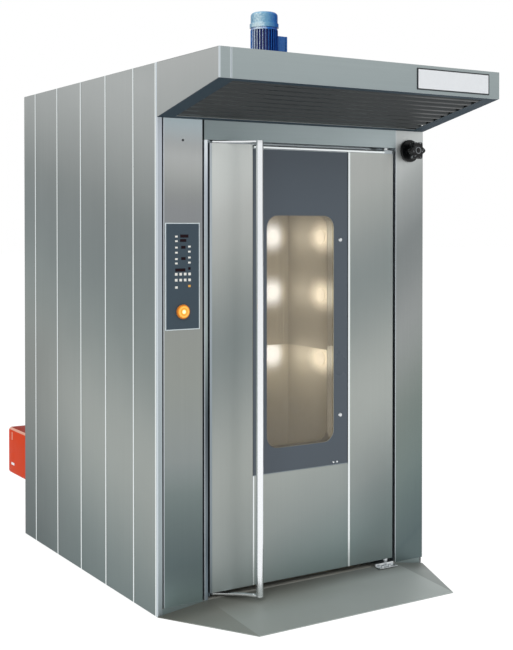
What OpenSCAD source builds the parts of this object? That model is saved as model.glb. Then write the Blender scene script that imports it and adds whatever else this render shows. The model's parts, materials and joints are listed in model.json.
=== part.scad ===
// Rotating rack oven: insulated cabinet, hinged glazed door, steam hood, rack drive, burner.
// Every module draws in cabinet coordinates: x from the left side, y from the front plane, z from the
// floor. placed() then moves the origin to the middle of the footprint on the floor.

/* [Cabinet] */
// Width over the side cladding
body_w = 1550; // [1540:10:1700]
// Depth from the front plane to the rear cladding
body_d = 1660; // [1640:10:1900]
// Height from the floor to the roof
body_h = 2500; // [2480:10:2700]
// Height of the base that the chamber floor lies on
floor_h = 35; // [20:1:40]
// Thickness of the cladding and casing sheets
sheet_t = 2; // [1:0.5:3]
// Depth of the folded edges of a cladding panel
panel_fold = 18; // [12:1:22]
// Widths of the side panels from the front, the last one takes what is left
panel_widths = [228, 310, 302, 314, 316];
// Gap between two side panels
seam_gap = 4; // [3:0.5:6]
// Width of the bright strip over a seam
strip_w = 10; // [8:1:14]
// Thickness of the bright strip
strip_t = 1.5; // [1:0.5:3]
// Thickness of the wool behind the side and rear cladding
wool_t = 60; // [50:1:62]
// Thickness of the wool under the roof
roof_wool_t = 80; // [60:1:100]

/* [Front] */
// Width of the corner post that shows left of the control column
corner_w = 26; // [20:1:30]
// Depth of the corner post
corner_d = 14; // [10:1:16]
// Dark gap at both sides of the control column
column_gap = 8; // [4:1:10]
// Width of the control column cover
column_w = 201; // [190:1:205]
// Depth of the folded column covers
cover_d = 18; // [12:1:24]
// Width of the jamb strip left of the door
jamb_w = 18; // [14:1:20]
// Thickness of the lintel panel
lintel_t = 18; // [14:1:20]
// Height of the lintel panel's lower edge above the door
lintel_gap = 13; // [12:1:16]
// Depth of the front frame behind the front plane
frame_d = 110; // [105:1:120]
// Face of the seal flange behind the front plane
flange_y = 70; // [69:1:75]

/* [Door] */
// Left edge of the door
door_x = 273; // [270:1:276]
// Distance from the door's right edge to the cabinet's right side
door_margin = 200; // [197:1:207]
// Height of the door's lower edge above the floor
door_z = 62; // [60:1:66]
// Distance from the roof down to the top of the door
door_head = 350; // [345:1:352]
// Depth of the door frame with its skins
door_t = 57; // [54:1:58]
// Thickness of the door's skins and liner
skin_t = 3; // [2:0.5:3]
// Wall of the door frame's members
frame_wall = 3; // [2:0.5:4]
// Width of the door's outer stiles
stile_w = 60; // [58:1:66]
// Width of the door's top and bottom rails
rail_w = 50; // [40:1:60]
// Width of the door's left edge strip
edge_strip_w = 12; // [10:1:14]
// Width of the left skin
left_skin_w = 221; // [215:1:225]
// Width of the right skin
right_skin_w = 271; // [265:1:275]
// Height of the lower skin
lower_skin_h = 518; // [480:1:540]
// Width of a bright vertical trim
trim_w = 12; // [8:1:14]
// Height of the rounded cap on the door's top rail
cap_h = 18; // [14:1:20]
// Thickness of each pane
glass_t = 6; // [4:1:6]
// Thickness of the enamelled surround
surround_t = 4; // [3:1:4]
// Left edge of the window opening from the cabinet's left side
window_x = 587; // [575:1:600]
// Distance from the window opening to the right skin
window_margin = 99; // [92:1:120]
// Lower edge of the window opening
window_z = 700; // [690:1:720]
// Distance from the top of the door down to the window opening
window_head = 335; // [320:1:400]
// Corner radius of the window opening
window_r = 60; // [30:1:80]
// Hidden edge of the glass behind the surround
glass_lap = 22; // [15:1:24]
// Depth of the silicone seal
seal_t = 9.5; // [9:0.5:9.5]
// Distance of the hinge axis from the door's right edge
hinge_inset = 30; // [28:1:34]
// Distance of the hinge axis behind the front plane
hinge_y = 25; // [22:1:28]
// Radius of the hinge pins
hinge_pin_r = 10; // [8:0.5:11]

/* [Handle] */
// Radius of the full-height handle tube
handle_r = 17; // [14:0.5:18]
// Wall of the handle tube
handle_wall = 2.5; // [1.5:0.5:4]
// Handle tube place right of the pivot
handle_dx = 160; // [150:1:165]
// Handle tube place in front of the pivot
handle_dy = 150; // [145:1:155]
// Pivot place right of the door's left edge
pivot_dx = 37; // [37:1:38]
// Pivot place behind the front plane
pivot_y = 30; // [29:0.5:31]
// Radius of the latch shaft
latch_r = 8; // [6:0.5:8]
// Thickness of the cranks
crank_t = 8; // [6:0.5:8]
// Width of the cranks
crank_w = 22; // [16:1:24]

/* [Hood] */
// Reach of the hood in front of the door
hood_d = 556; // [480:1:650]
// Height of the hood's fascia
fascia_h = 128; // [110:1:150]
// Height of the hood's underside at the front plane below the roof
hood_drop = 246; // [235:1:250]
// Place of the fascia seam from the left side
fascia_seam = 57; // [40:1:80]
// Width of the plain underside border at each side
rim_w = 80; // [60:1:120]
// Number of slats under the hood
slat_count = 9; // [6:1:12]
// Width of the framed blank plate
plate_w = 442; // [300:1:460]
// Height of the framed blank plate
plate_h = 99; // [60:1:104]
// Radius of the hood's steam spigot
spigot_r = 75; // [50:1:90]
// Reach of the spigot's axis in front of the front plane
spigot_out = 150; // [100:1:160]

/* [Pipes] */
// Height of the spigots above the roof
spigot_h = 50; // [30:1:52]
// Radius of the flue pipe
flue_r = 65; // [60:1:66]
// Gap around the hot flue in the roof and in the casing
flue_gap = 20; // [10:1:22]
// Radius of the steam pipe
duct_pipe_r = 30; // [26:1:32]
// Gap around the steam pipe in the roof
duct_gap = 5; // [3:1:6]
// Thickness of the collars where pipes leave the cabinet
collar_t = 3; // [2:0.5:5]
// Width of a collar's edge that laps over the sheet
collar_lap = 10; // [6:1:14]

/* [Ramp] */
// Reach of the entry ramp
ramp_d = 448; // [300:1:500]
// Sheet of the entry ramp
ramp_t = 4; // [3:0.5:6]
// Height of the ramp's rear edge
ramp_h = 31; // [16:1:35]

/* [Chamber] */
// Left wall of the baking chamber
chamber_x = 445; // [440:1:450]
// Distance from the chamber's right wall to the cabinet's right side
chamber_margin = 91; // [89:1:100]
// Space behind the chamber's rear wall for the fan
chamber_rear = 535; // [530:1:560]
// Distance from the roof down to the ceiling
ceiling_drop = 380; // [378:1:390]
// Thickness of the chamber walls
wall_t = 3; // [2:0.5:4]
// Radius of the rotor shaft
rotor_r = 20; // [16:1:24]
// Radius of a chamber lamp
lamp_r = 40; // [30:1:50]

/* [Control panel] */
// Left edge of the control panel from the cabinet's left side
panel_x = 41; // [38:1:44]
// Width of the control panel
panel_w = 177; // [170:1:185]
// Height of the control panel's lower edge
panel_z = 1293; // [1200:1:1350]
// Height of the control panel
panel_h = 487; // [480:1:520]
// Thickness of the control panel
panel_t = 3; // [2:0.5:5]
// Radius of the start button
button_r = 28; // [20:1:32]
// Travel of the start button
button_travel = 4; // [2:0.5:5]

/* [Roof drive] */
// Radius over the motor's fins
motor_r = 74; // [70:1:80]
// Height of the gear unit
gearbox_h = 112; // [90:1:140]
// Height of the motor's finned barrel
motor_h = 211; // [180:1:240]
// Height of the fan cowl
cowl_h = 83; // [70:1:95]
// Reach of the motor's terminal box from the motor's axis
terminal_reach = 140; // [120:1:160]
// Radius of the fan cowl's lip
cowl_lip_r = 78; // [76:1:84]

/* [Burner] */
// Centre of the burner from the left side
burner_x = 200; // [196:1:230]
// Height of the burner's centre
burner_z = 403; // [380:1:420]
// Width of the burner cover
burner_w = 280; // [240:1:290]
// Height of the burner cover
burner_h = 278; // [260:1:290]
// Depth of the burner cover
burner_d = 385; // [370:1:400]
// Edge radius of the burner cover
burner_edge_r = 20; // [10:1:40]
// Radius of the combustion chamber
flame_r = 110; // [90:1:112]

/* [Hidden] */
// Gap between pieces that lie against each other
fit = 0.3;
// Radial clearance of a running fit
run = 0.05;
// Overlap of welded parts of one piece
weld = 0.1;
// Facets of true round shapes
$fn = 48;
steel = "silver";
dark_steel = "dimgray";

// Cladding and seams
clad_x = strip_t;
clad_in = clad_x + panel_fold;
function sum_to(list, i) = i < 0 ? 0 : list[i] + sum_to(list, i - 1);
first_seam = corner_d + seam_gap / 2;
seams = [for (i = [-1 : len(panel_widths) - 1]) first_seam + sum_to(panel_widths, i)];
// Front plane
column_x = corner_w + column_gap - 1;
jamb_x = column_x + column_w + column_gap + 2;
door_top = body_h - door_head;
door_r = body_w - door_margin;
lintel_z = door_top + lintel_gap;
hood_back_z = body_h - hood_drop;
fascia_z = body_h - fascia_h;
right_column_x = door_r + column_gap + 10;
// Chamber
chamber_y = frame_d;
chamber_back = body_d - chamber_rear;
chamber_r = body_w - chamber_margin;
ceiling_z = body_h - ceiling_drop;
rotor_x = (chamber_x + chamber_r) / 2;
rotor_y = (flange_y + 5 + chamber_back) / 2;
casing_x = clad_in + wool_t;
casing_back = body_d - panel_fold - wool_t;
casing_top = body_h - clad_in - roof_wool_t;
box_d = 300;
mouth_l = door_x + 45;
mouth_r = door_r - 145;
flange_r = mouth_r + 57;
// Hinge axis and latch pivot
hinge_x = door_r - hinge_inset;
pivot_x = door_x + pivot_dx;
keeper_dx = -19;
keeper_dy = 11;
keeper_r = 5;
// Damper axis
damper_x = body_w - 95;
damper_z = ceiling_z + 31;
duct_y = 200;
duct_half_w = 80;
duct_half_h = damper_z - ceiling_z - wall_t;
duct_pipe_x = damper_x + 36;
duct_x = damper_x - 155;
duct_end = body_w - clad_in - 6;
damper_shaft_r = 6;
// Circulation fan
fan_z = ceiling_z - 420;
fan_r = 225;
fan_shaft_r = 12;
// Exchanger
flue_x = 250;
header_d = 100;
header_w = 280;
header_z = 600;
rear_header_z = 560;
header_front = box_d + 180;
header_back = casing_back - 80 - header_d;
header_top = ceiling_z - 670;
flue_y = header_back + header_d / 2;
water_x = 345;
water_z = ceiling_z - 60;
water_r = 10.5;

module placed() translate([-body_w / 2, -body_d / 2, 0]) children();
// Box between two corners
module span(low, high) translate(low) cube(high - low);
// Extrusion of a (y, z) outline along x
module along_x(x, length) translate([x, 0, 0]) rotate([90, 0, 90]) linear_extrude(length) children();
// Cylinder along y that starts at y
module rod_y(x, y, z, r, length) translate([x, y, z]) rotate([-90, 0, 0]) cylinder(r = r, h = length);
module rod_z(x, y, z, r, length) translate([x, y, z]) cylinder(r = r, h = length);
module mirrored() translate([body_w, 0, 0]) mirror([1, 0, 0]) children();
// Flat bar of even width along three points of the plan, mitred at the middle one
function side(from, to) = [from[1] - to[1], to[0] - from[0]] / norm(to - from);
module bent_bar(a, b, c, width, thick) {
    first = side(a, b) * width / 2;
    last = side(b, c) * width / 2;
    mitre = (first + last) / (1 + first * last / (first * first));
    linear_extrude(thick) polygon([a + first, b + mitre, c + last, c - last, b - mitre, a - first]);
}

// ---- cabinet ----
cell_count = 4;
rib_t = 8;
floor_t = 4;
// Floor plate on crossing ribs, open below
module base_frame() placed() color(dark_steel) difference() {
    low = [clad_in + fit, 0, 0];
    high = [body_w - clad_in - fit, body_d - panel_fold - fit, floor_h];
    cell = [(high[0] - low[0] - rib_t) / cell_count, (high[1] - low[1] - rib_t) / cell_count, 0];
    span(low, high);
    for (i = [0 : cell_count - 1], j = [0 : cell_count - 1])
        translate([low[0] + rib_t + cell[0] * i, low[1] + rib_t + cell[1] * j, -1])
            cube([cell[0] - rib_t, cell[1] - rib_t, floor_h - floor_t + 1]);
    span([0, -1, -1], [corner_w + fit, corner_d + fit, floor_h + 1]);
}

// Folded sheet that slopes to the floor in front and to both sides
module entry_ramp() placed() color("lightslategray") {
    inner_l = jamb_x + jamb_w;
    inner_r = right_column_x - 4;
    underside = [[0, -fit, 0], [inner_l, -fit, ramp_h], [inner_r, -fit, ramp_h],
        [body_w, -fit, 0], [inner_r, -ramp_d, 0], [inner_l, -ramp_d, 0]];
    polyhedron(
        concat(underside, [for (p = underside) p + [0, 0, ramp_t]]),
        [[0, 1, 5], [1, 2, 4], [1, 4, 5], [2, 3, 4],
         [6, 11, 7], [7, 11, 10], [7, 10, 8], [8, 10, 9],
         [0, 5, 11], [0, 11, 6], [5, 4, 10], [5, 10, 11], [4, 3, 9], [4, 9, 10],
         [0, 6, 7], [0, 7, 1], [1, 7, 8], [1, 8, 2], [2, 8, 9], [2, 9, 3]]);
}

// Pan with its open side at +x
module side_panel(y0, y1) difference() {
    span([clad_x, y0, 0], [clad_in, y1, body_h]);
    span([clad_x + sheet_t, y0 + sheet_t, sheet_t], [clad_in + 1, y1 - sheet_t, body_h - sheet_t]);
}
module side_panels() for (i = [0 : len(seams) - 1])
    side_panel(seams[i] + seam_gap / 2, i + 1 < len(seams) ? seams[i + 1] - seam_gap / 2 : body_d);
module left_cladding() placed() color(steel) side_panels();
module right_cladding() placed() color(steel) mirrored() side_panels();

module strip_row() for (s = seams) {
    span([0, s - strip_w / 2, 0], [strip_t, s + strip_w / 2, body_h]);
    span([strip_t, s - seam_gap / 2 + fit, 0],
        [clad_in - sheet_t, s + seam_gap / 2 - fit, body_h]);
}
module seam_strips() placed() color("white") {
    strip_row();
    mirrored() strip_row();
}

module rear_cladding() placed() color(steel) difference() {
    span([clad_in + fit, body_d - panel_fold, 0], [body_w - clad_in - fit, body_d, body_h]);
    span([clad_in + fit + sheet_t, body_d - panel_fold - 1, floor_h],
        [body_w - clad_in - fit - sheet_t, body_d - sheet_t, body_h - sheet_t]);
    rod_y(burner_x, body_d - panel_fold, burner_z, blast_r + fit, panel_fold + 1);
    rod_y(rotor_x, body_d - panel_fold, fan_z, fan_shaft_r + 3, panel_fold + 1);
    rod_y(water_x, body_d - panel_fold, water_z, water_r + fit, panel_fold + 1);
}

module roof_panel() placed() color(steel) difference() {
    span([clad_in + fit, lintel_t + fit, body_h - clad_in],
        [body_w - clad_in - fit, body_d - panel_fold - fit, body_h]);
    span([clad_in + fit + sheet_t, lintel_t + fit + sheet_t, body_h - clad_in - 1],
        [body_w - clad_in - fit - sheet_t, body_d - panel_fold - fit - sheet_t, body_h - sheet_t]);
    rod_z(rotor_x, rotor_y, body_h - clad_in, rotor_r + 10, clad_in + 1);
    rod_z(flue_x, flue_y, body_h - clad_in, flue_r + flue_gap, clad_in + 1);
    rod_z(duct_pipe_x, duct_y, body_h - clad_in, duct_pipe_r + duct_gap, clad_in + 1);
}

// Channel member that is open at the back
module member(low, high, end_wall = 3) difference() {
    span(low, high);
    span([low[0] + frame_wall, low[1] + frame_wall, low[2] + end_wall],
        [high[0] - frame_wall, high[1] + 1, high[2] - end_wall]);
}
head_r = right_column_x + 32;
pocket_y = flange_y + 12;
// Corner post, jambs, head and seal flange, with the two latch keepers
module front_frame() placed() color("gray") {
    member([clad_x, 0, 0], [corner_w, corner_d, body_h]);
    member([jamb_x, 0, floor_h], [jamb_x + jamb_w, frame_d, lintel_z - fit]);
    member([jamb_x, lintel_t + fit, lintel_z], [head_r, flange_y + 5, body_h - clad_in - fit]);
    member([jamb_x + jamb_w + fit, flange_y, floor_h], [mouth_l, frame_d, ceiling_z - fit]);
    span([mouth_l - 1, frame_d - frame_wall, floor_h], [chamber_x, frame_d, ceiling_z - fit]);
    member([mouth_r, flange_y, floor_h], [flange_r, frame_d, ceiling_z - fit]);
    member([jamb_x + jamb_w + fit, flange_y, ceiling_z], [flange_r, frame_d, lintel_z - fit]);
    difference() {
        member([flange_r + fit, pocket_y, floor_h], [chamber_r, frame_d, lintel_z - fit]);
        rod_y(damper_x, flange_y, damper_z, damper_shaft_r + 1, frame_d);
    }
    member([right_column_x + fit, cover_d + fit, floor_h], [head_r, pocket_y - fit, lintel_z - fit]);
    rod_z(pivot_x + keeper_dx, pivot_y + keeper_dy, floor_h, keeper_r, door_z - floor_h - 4);
    rod_z(pivot_x + keeper_dx, pivot_y + keeper_dy, door_top + 2, keeper_r, lintel_gap - 2);
}

// Folded cover, open at the back
module front_cover(x0, x1, depth) difference() {
    top = hood_back_z - fit;
    span([x0, 0, floor_h], [x1, depth, top]);
    span([x0 + sheet_t, sheet_t, floor_h + sheet_t], [x1 - sheet_t, depth + 1, top - sheet_t]);
}
button_x = panel_x + panel_w / 2;
button_z = panel_z + 83;
module control_column() placed() color(steel) difference() {
    front_cover(column_x, column_x + column_w, cover_d);
    rod_y(button_x, -1, button_z, stem_r + 1, cover_d);
}
module right_column() placed() color(steel) difference() {
    front_cover(right_column_x, body_w - clad_x, corner_d);
    rod_y(damper_x, -1, damper_z, damper_shaft_r + 1, cover_d);
}
module lintel_panel() placed() color(steel)
    span([jamb_x, 0, lintel_z], [right_column_x - fit, lintel_t, hood_back_z - fit]);

mount_x = clad_in + 30;
mount_z = 300;
mount_top = body_h - 600;
mount_t = 12;
contactor_w = 46;
contactor_d = 66;
contactor_h = 90;
contactor_pitch = 54;
contactor_row = 330;
// Closure behind the control column with the mounting plate and its contactors
module control_box() placed() color("lightgray") {
    top = casing_top - sheet_t - 2 * fit;
    span([jamb_x, frame_d + fit, floor_h], [jamb_x + sheet_t, box_d, top]);
    span([clad_in + fit, box_d + fit, floor_h], [jamb_x + sheet_t, box_d + sheet_t, top]);
    span([mount_x, box_d - mount_t, mount_z], [jamb_x - 20, box_d, mount_top]);
    for (row = [1 : floor((mount_top - mount_z - contactor_h) / contactor_row)], i = [0 : 2])
        translate([mount_x + 12 + contactor_pitch * i, box_d - mount_t - contactor_d,
                mount_z - 130 + contactor_row * row])
            cube([contactor_w, contactor_d - fit, contactor_h]);
}

// ---- control panel ----
stem_r = 8;
module control_panel() placed() color("slategray") difference() {
    span([panel_x, -panel_t, panel_z], [panel_x + panel_w, 0, panel_z + panel_h]);
    rod_y(button_x, -panel_t - 1, button_z, stem_r + run, panel_t + 2);
}
// Raised tile on the panel, from its centre and size
tile_t = 1;
module tile(x, z, w, h) span([panel_x + x - w / 2, -panel_t - tile_t, panel_z + z - h / 2],
    [panel_x + x + w / 2, -panel_t, panel_z + z + h / 2]);
left_key_rows = [425, 404, 375, 352, 323, 303];
right_key_rows = [379, 356, 329, 306];
left_keys_x = 56;
right_keys_x = 123;
grid_step = 23;
module display_windows() placed() color("darkred") {
    tile(97, 427, 42, 14);
    tile(91, 407, 32, 13);
    tile(92, 376, 22, 13);
    tile(92, 325, 22, 13);
    tile(76, 273, 52, 14);
    tile(right_keys_x, 279, 12, 12);
}
module keypad_keys() placed() color("white") {
    for (z = left_key_rows) tile(left_keys_x, z, 13, 8);
    for (z = right_key_rows) tile(right_keys_x, z, 13, 8);
    for (z = [227, 254], i = [0 : 3]) tile(left_keys_x + grid_step * i - 1, z, 13, 12);
    tile(left_keys_x, 194, 13, 10);
    tile(right_keys_x, 199, 13, 10);
}
collar_h = 9;
module button_collar() placed() color("black") difference() {
    rod_y(button_x, -panel_t - collar_h, button_z, button_r + 5, collar_h);
    rod_y(button_x, -panel_t - collar_h - 1, button_z, button_r + run, collar_h + 2);
}
button_gap = 1;
cap_t = 9;
module start_button() placed() color("orange") {
    cap_back = -panel_t - button_travel - button_gap;
    rod_y(button_x, cap_back - cap_t, button_z, button_r, cap_t);
    rod_y(button_x, cap_back - fit / 3, button_z, stem_r, cover_d + 20);
}

// ---- hood ----
border_d = 30;
slat_x = sheet_t + rim_w + 2 * fit;
slat_len = body_w - 2 * slat_x;
joiner_half = 6;
joiner_t = 2;
// Height of the underside at a distance in front of the front plane
function under_z(out) = hood_back_z + (fascia_z - hood_back_z) * out / hood_d;
module underside_strip(x, length, out0, out1) along_x(x, length)
    polygon([[-out1, under_z(out1)], [-out0, under_z(out0)],
        [-out0, under_z(out0) + sheet_t], [-out1, under_z(out1) + sheet_t]]);
module hood_shell() placed() color(steel) {
    difference() {
        union() {
            span([0, -hood_d + sheet_t + fit, body_h - sheet_t], [body_w, -fit, body_h]);
            rod_z(body_w / 2, -spigot_out, body_h, spigot_r, spigot_h);
        }
        rod_z(body_w / 2, -spigot_out, body_h - sheet_t - 1, spigot_r - sheet_t, spigot_h + sheet_t + 2);
    }
    for (x = [0, body_w - sheet_t]) along_x(x, sheet_t)
        polygon([[-hood_d + sheet_t + fit, fascia_z], [-fit, hood_back_z],
            [-fit, body_h - sheet_t - fit], [-hood_d + sheet_t + fit, body_h - sheet_t - fit]]);
    span([corner_w + fit, 0, hood_back_z], [body_w - clad_in - fit, lintel_t, body_h]);
    underside_strip(sheet_t + fit, rim_w, fit, hood_d - sheet_t - 2 * fit);
    underside_strip(body_w - sheet_t - fit - rim_w, rim_w, fit, hood_d - sheet_t - 2 * fit);
    underside_strip(slat_x, slat_len, fit, border_d);
    underside_strip(slat_x, slat_len, hood_d - border_d, hood_d - sheet_t - 2 * fit);
}
module hood_fascia() placed() color(steel) {
    span([0, -hood_d, fascia_z], [fascia_seam - 1, -hood_d + sheet_t, body_h]);
    span([fascia_seam + 1, -hood_d, fascia_z], [body_w, -hood_d + sheet_t, body_h]);
    span([fascia_seam - joiner_half, -hood_d + sheet_t + fit, fascia_z + joiner_half],
        [fascia_seam + joiner_half, -hood_d + sheet_t + joiner_t, body_h - sheet_t - joiner_half]);
}
slat_h = 16;
// Point over the underside at a distance in front of the front plane
function over(out, rise) = [-out, under_z(out) + rise];
// Folded channels, open above
module hood_slats() placed() color("darkslategray") {
    pitch = (hood_d - 2 * border_d) / slat_count;
    for (i = [0 : slat_count - 1]) {
        mid = border_d + pitch * (i + 0.5);
        foot = pitch * 0.16;
        lip = pitch * 0.38;
        along_x(slat_x, slat_len) polygon([
            over(mid + lip, slat_h), over(mid + foot, 1),
            over(mid - foot, 1), over(mid - lip, slat_h),
            over(mid - lip + 2, slat_h), over(mid - foot + 1, 3),
            over(mid + foot - 1, 3), over(mid + lip - 2, slat_h)]);
    }
}
plate_t = 3;
plate_r = body_w - 67;
plate_z = fascia_z + 15;
module hood_plate() placed() color("gainsboro")
    span([plate_r - plate_w, -hood_d - plate_t, plate_z], [plate_r, -hood_d, plate_z + plate_h]);

// ---- insulation and chamber ----
module steam_duct_space(clear) {
    span([duct_x - clear, duct_y - duct_half_w - clear, ceiling_z + wall_t - clear],
        [body_w - clad_in + 1, duct_y + duct_half_w + clear, damper_z + duct_half_h + clear]);
    rod_z(duct_pipe_x, duct_y, damper_z, duct_pipe_r + clear, body_h - damper_z);
    rod_y(damper_x, frame_d - 1, damper_z, damper_shaft_r + 2, duct_y - frame_d);
}
module inner_casing() placed() color("lightsteelblue") {
    span([casing_x + fit, box_d + sheet_t + fit, floor_h],
        [casing_x + sheet_t, casing_back - sheet_t - fit, casing_top - sheet_t - fit]);
    difference() {
        span([casing_x + fit, casing_back - sheet_t, floor_h],
            [chamber_r, casing_back - fit, casing_top - sheet_t - fit]);
        rod_y(burner_x, casing_back - 5, burner_z, blast_r + fit, 10);
        rod_y(rotor_x, casing_back - 5, fan_z, fan_shaft_r + 3, 10);
        rod_y(water_x, casing_back - 5, water_z, water_r + fit, 10);
    }
    difference() {
        span([casing_x + fit, flange_y + 5 + fit, casing_top - sheet_t],
            [chamber_r - fit, casing_back - fit, casing_top - fit]);
        rod_z(rotor_x, rotor_y, casing_top - 5, rotor_r + 10, 10);
        rod_z(flue_x, flue_y, casing_top - 5, flue_r + flue_gap, 10);
    }
    span([chamber_x, plenum_y, ceiling_z + wall_t + fit],
        [chamber_r - fit, plenum_y + wall_t, casing_top - sheet_t - fit]);
}
module wool_slabs() placed() color("khaki") {
    difference() {
        span([chamber_x, frame_d + fit, ceiling_z + wall_t + fit],
            [chamber_r, plenum_y - fit, casing_top - sheet_t - fit]);
        steam_duct_space(fit);
    }
    span([clad_in + fit, box_d + sheet_t + fit, floor_h], [casing_x, casing_back - fit, casing_top - fit]);
    difference() {
        span([chamber_r + wall_t + fit, frame_d + fit, floor_h],
            [body_w - clad_in - fit, casing_back - fit, casing_top - fit]);
        steam_duct_space(fit);
    }
    difference() {
        span([clad_in + fit, casing_back, floor_h],
            [body_w - clad_in - fit, body_d - panel_fold - fit, casing_top - fit]);
        rod_y(burner_x, casing_back - 1, burner_z, blast_r + fit, wool_t + 2);
        rod_y(rotor_x, casing_back - 1, fan_z, fan_shaft_r + 3, wool_t + 2);
        rod_y(water_x, casing_back - 1, water_z, water_r + fit, wool_t + 2);
    }
    difference() {
        span([clad_in + fit, flange_y + 5 + fit, casing_top],
            [body_w - clad_in - fit, body_d - panel_fold - fit, body_h - clad_in - fit]);
        rod_z(rotor_x, rotor_y, casing_top - 1, rotor_r + 10, roof_wool_t + 2);
        rod_z(flue_x, flue_y, casing_top - 1, flue_r + fit, roof_wool_t + 2);
        rod_z(duct_pipe_x, duct_y, casing_top - 1, duct_pipe_r + fit, roof_wool_t + 2);
    }
}
slot_y = frame_d + 230;
slot_z = 200;
slot_w = 20;
slot_h = 180;
slot_pitch = 260;
// Air outlet slots in upright columns
module chamber_left_wall() placed() color("tan") difference() {
    span([chamber_x - wall_t, frame_d + fit, floor_h], [chamber_x, chamber_back - fit, ceiling_z - fit]);
    cols = floor((chamber_back - slot_y) / slot_pitch);
    rows = floor((ceiling_z - slot_z) / slot_pitch);
    for (col = [0 : cols - 1], row = [0 : rows - 1])
        translate([chamber_x - wall_t - 1, slot_y + slot_pitch * col, slot_z + slot_pitch * row])
            cube([wall_t + 2, slot_w, slot_h]);
}
plenum_y = duct_y + duct_half_w + fit;
module chamber_right_wall() placed() color("tan") {
    span([chamber_r, frame_d + fit, floor_h],
        [chamber_r + wall_t, casing_back - fit, ceiling_z + wall_t - fit]);
    span([chamber_r, plenum_y + wall_t, floor_h],
        [chamber_r + wall_t, casing_back - fit, casing_top - fit]);
}
grille_half = 170;
grille_slot = 16;
grille_pitch = 40;
module chamber_rear_wall() placed() color("tan") difference() {
    span([chamber_x - wall_t, chamber_back, floor_h],
        [chamber_r - fit, chamber_back + wall_t, ceiling_z - fit]);
    for (rise = [-grille_half : grille_pitch : grille_half])
        translate([rotor_x - grille_half, chamber_back - 1, fan_z + rise])
            cube([2 * grille_half, wall_t + 2, grille_slot]);
}
module chamber_ceiling() placed() color("tan") difference() {
    span([chamber_x - wall_t, frame_d + fit, ceiling_z],
        [chamber_r - fit, chamber_back + wall_t, ceiling_z + wall_t]);
    rod_z(rotor_x, rotor_y, ceiling_z - 1, rotor_r + 3, wall_t + 2);
    span([damper_x - 150, duct_y - duct_half_w + 10, ceiling_z - 1],
        [damper_x - 50, duct_y + duct_half_w - 10, ceiling_z + wall_t + 1]);
}
lamp_drops = [1117, 752, 420];
lamp_t = 14;
lamp_back = 348;
lamp_side = 118;
// Lamps in rows under the ceiling, on the rear wall and on the right wall
module chamber_lamps() placed() color("lightyellow") for (drop = lamp_drops) {
    rod_y(chamber_r - lamp_side, chamber_back - lamp_t, ceiling_z - drop, lamp_r, lamp_t);
    translate([chamber_r - lamp_t, chamber_back - lamp_back, ceiling_z - drop]) rotate([0, 90, 0])
        cylinder(r = lamp_r, h = lamp_t);
}

// ---- heat and steam ----
blast_r = 48;
flame_wall = 6;
flame_end = casing_back - 20;
saddle_half = 90;
saddle_t = 40;
saddle_drop = 40;
// Flame tube on two saddles
module combustion_chamber() placed() color("rosybrown") {
    difference() {
        rod_y(burner_x, header_front, burner_z, flame_r, flame_end - header_front);
        rod_y(burner_x, header_front + flame_wall, burner_z, flame_r - flame_wall,
            flame_end - header_front - 2 * flame_wall);
        rod_y(burner_x, flame_end - 20, burner_z, blast_r + fit, 40);
    }
    for (y = [header_front + 60, flame_end - 90]) difference() {
        span([burner_x - saddle_half, y, floor_h],
            [burner_x + saddle_half, y + saddle_t, burner_z - saddle_drop]);
        rod_y(burner_x, y - 1, burner_z, flame_r - weld / 10, saddle_t + 2);
    }
}
tube_r = 25;
tube_wall = 3;
tube_pitch = 200;
tube_side = 90;
tube_cols = [flue_x - tube_side, flue_x, flue_x + tube_side];
tube_top = header_top - 130;
tube_rows = [for (z = [tube_top : -tube_pitch : header_z + 2 * tube_r]) z];
header_wall = 4;
neck_half = 50;
neck_inset = 10;
// Closed sheet box
module header(low, high) difference() {
    span(low, high);
    span(low + header_wall * [1, 1, 1], high - header_wall * [1, 1, 1]);
}
tube_start = header_front + header_d;
tube_len = header_back - tube_start;
// Two headers with the tubes between them and the necks that join them to the combustion chamber
module exchanger_tubes() placed() color("rosybrown") {
    low_x = flue_x - header_w / 2;
    high_x = flue_x + header_w / 2;
    header([low_x, header_front, header_z], [high_x, tube_start, header_top]);
    header([low_x, header_back, rear_header_z], [high_x, header_back + header_d, header_top]);
    difference() {
        span([burner_x - neck_half, header_front + neck_inset, burner_z],
            [burner_x + neck_half, tube_start - neck_inset, header_z + weld]);
        rod_y(burner_x, header_front, burner_z, flame_r + fit, header_d);
    }
    span([burner_x - neck_half, header_back + 2 * neck_inset, burner_z + flame_r + fit],
        [burner_x + neck_half, header_back + header_d - 2 * neck_inset, rear_header_z + weld]);
    for (x = tube_cols, z = tube_rows) difference() {
        rod_y(x, tube_start - 1, z, tube_r, tube_len + 2);
        rod_y(x, tube_start, z, tube_r - tube_wall, tube_len);
    }
}
// Pipe that ends in a spigot over a collar that covers its hole in the roof
module roof_pipe(x, y, z, r, wall, gap) difference() {
    union() {
        rod_z(x, y, z, r, body_h + spigot_h - z);
        rod_z(x, y, body_h + fit, r + gap + collar_lap, collar_t);
    }
    rod_z(x, y, z - 1, r - wall, body_h + spigot_h - z + 2);
}
module flue_pipe() placed() color("silver")
    roof_pipe(flue_x, flue_y, header_top + fit, flue_r, wall_t, flue_gap);
cover_y = body_d + 62;
wheel_r = 75;
wheel_y = cover_y + 160;
burner_flange_r = 95;
burner_flange_t = 10;
housing_half_w = burner_w / 2 - 22;
housing_half_h = burner_h / 2 - 14.5;
rim_t = 6;
arm_t = 8;
arm_half = 60;
burner_motor_x = burner_x + 35;
burner_motor_r = 50;
burner_motor_l = 65;
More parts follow.
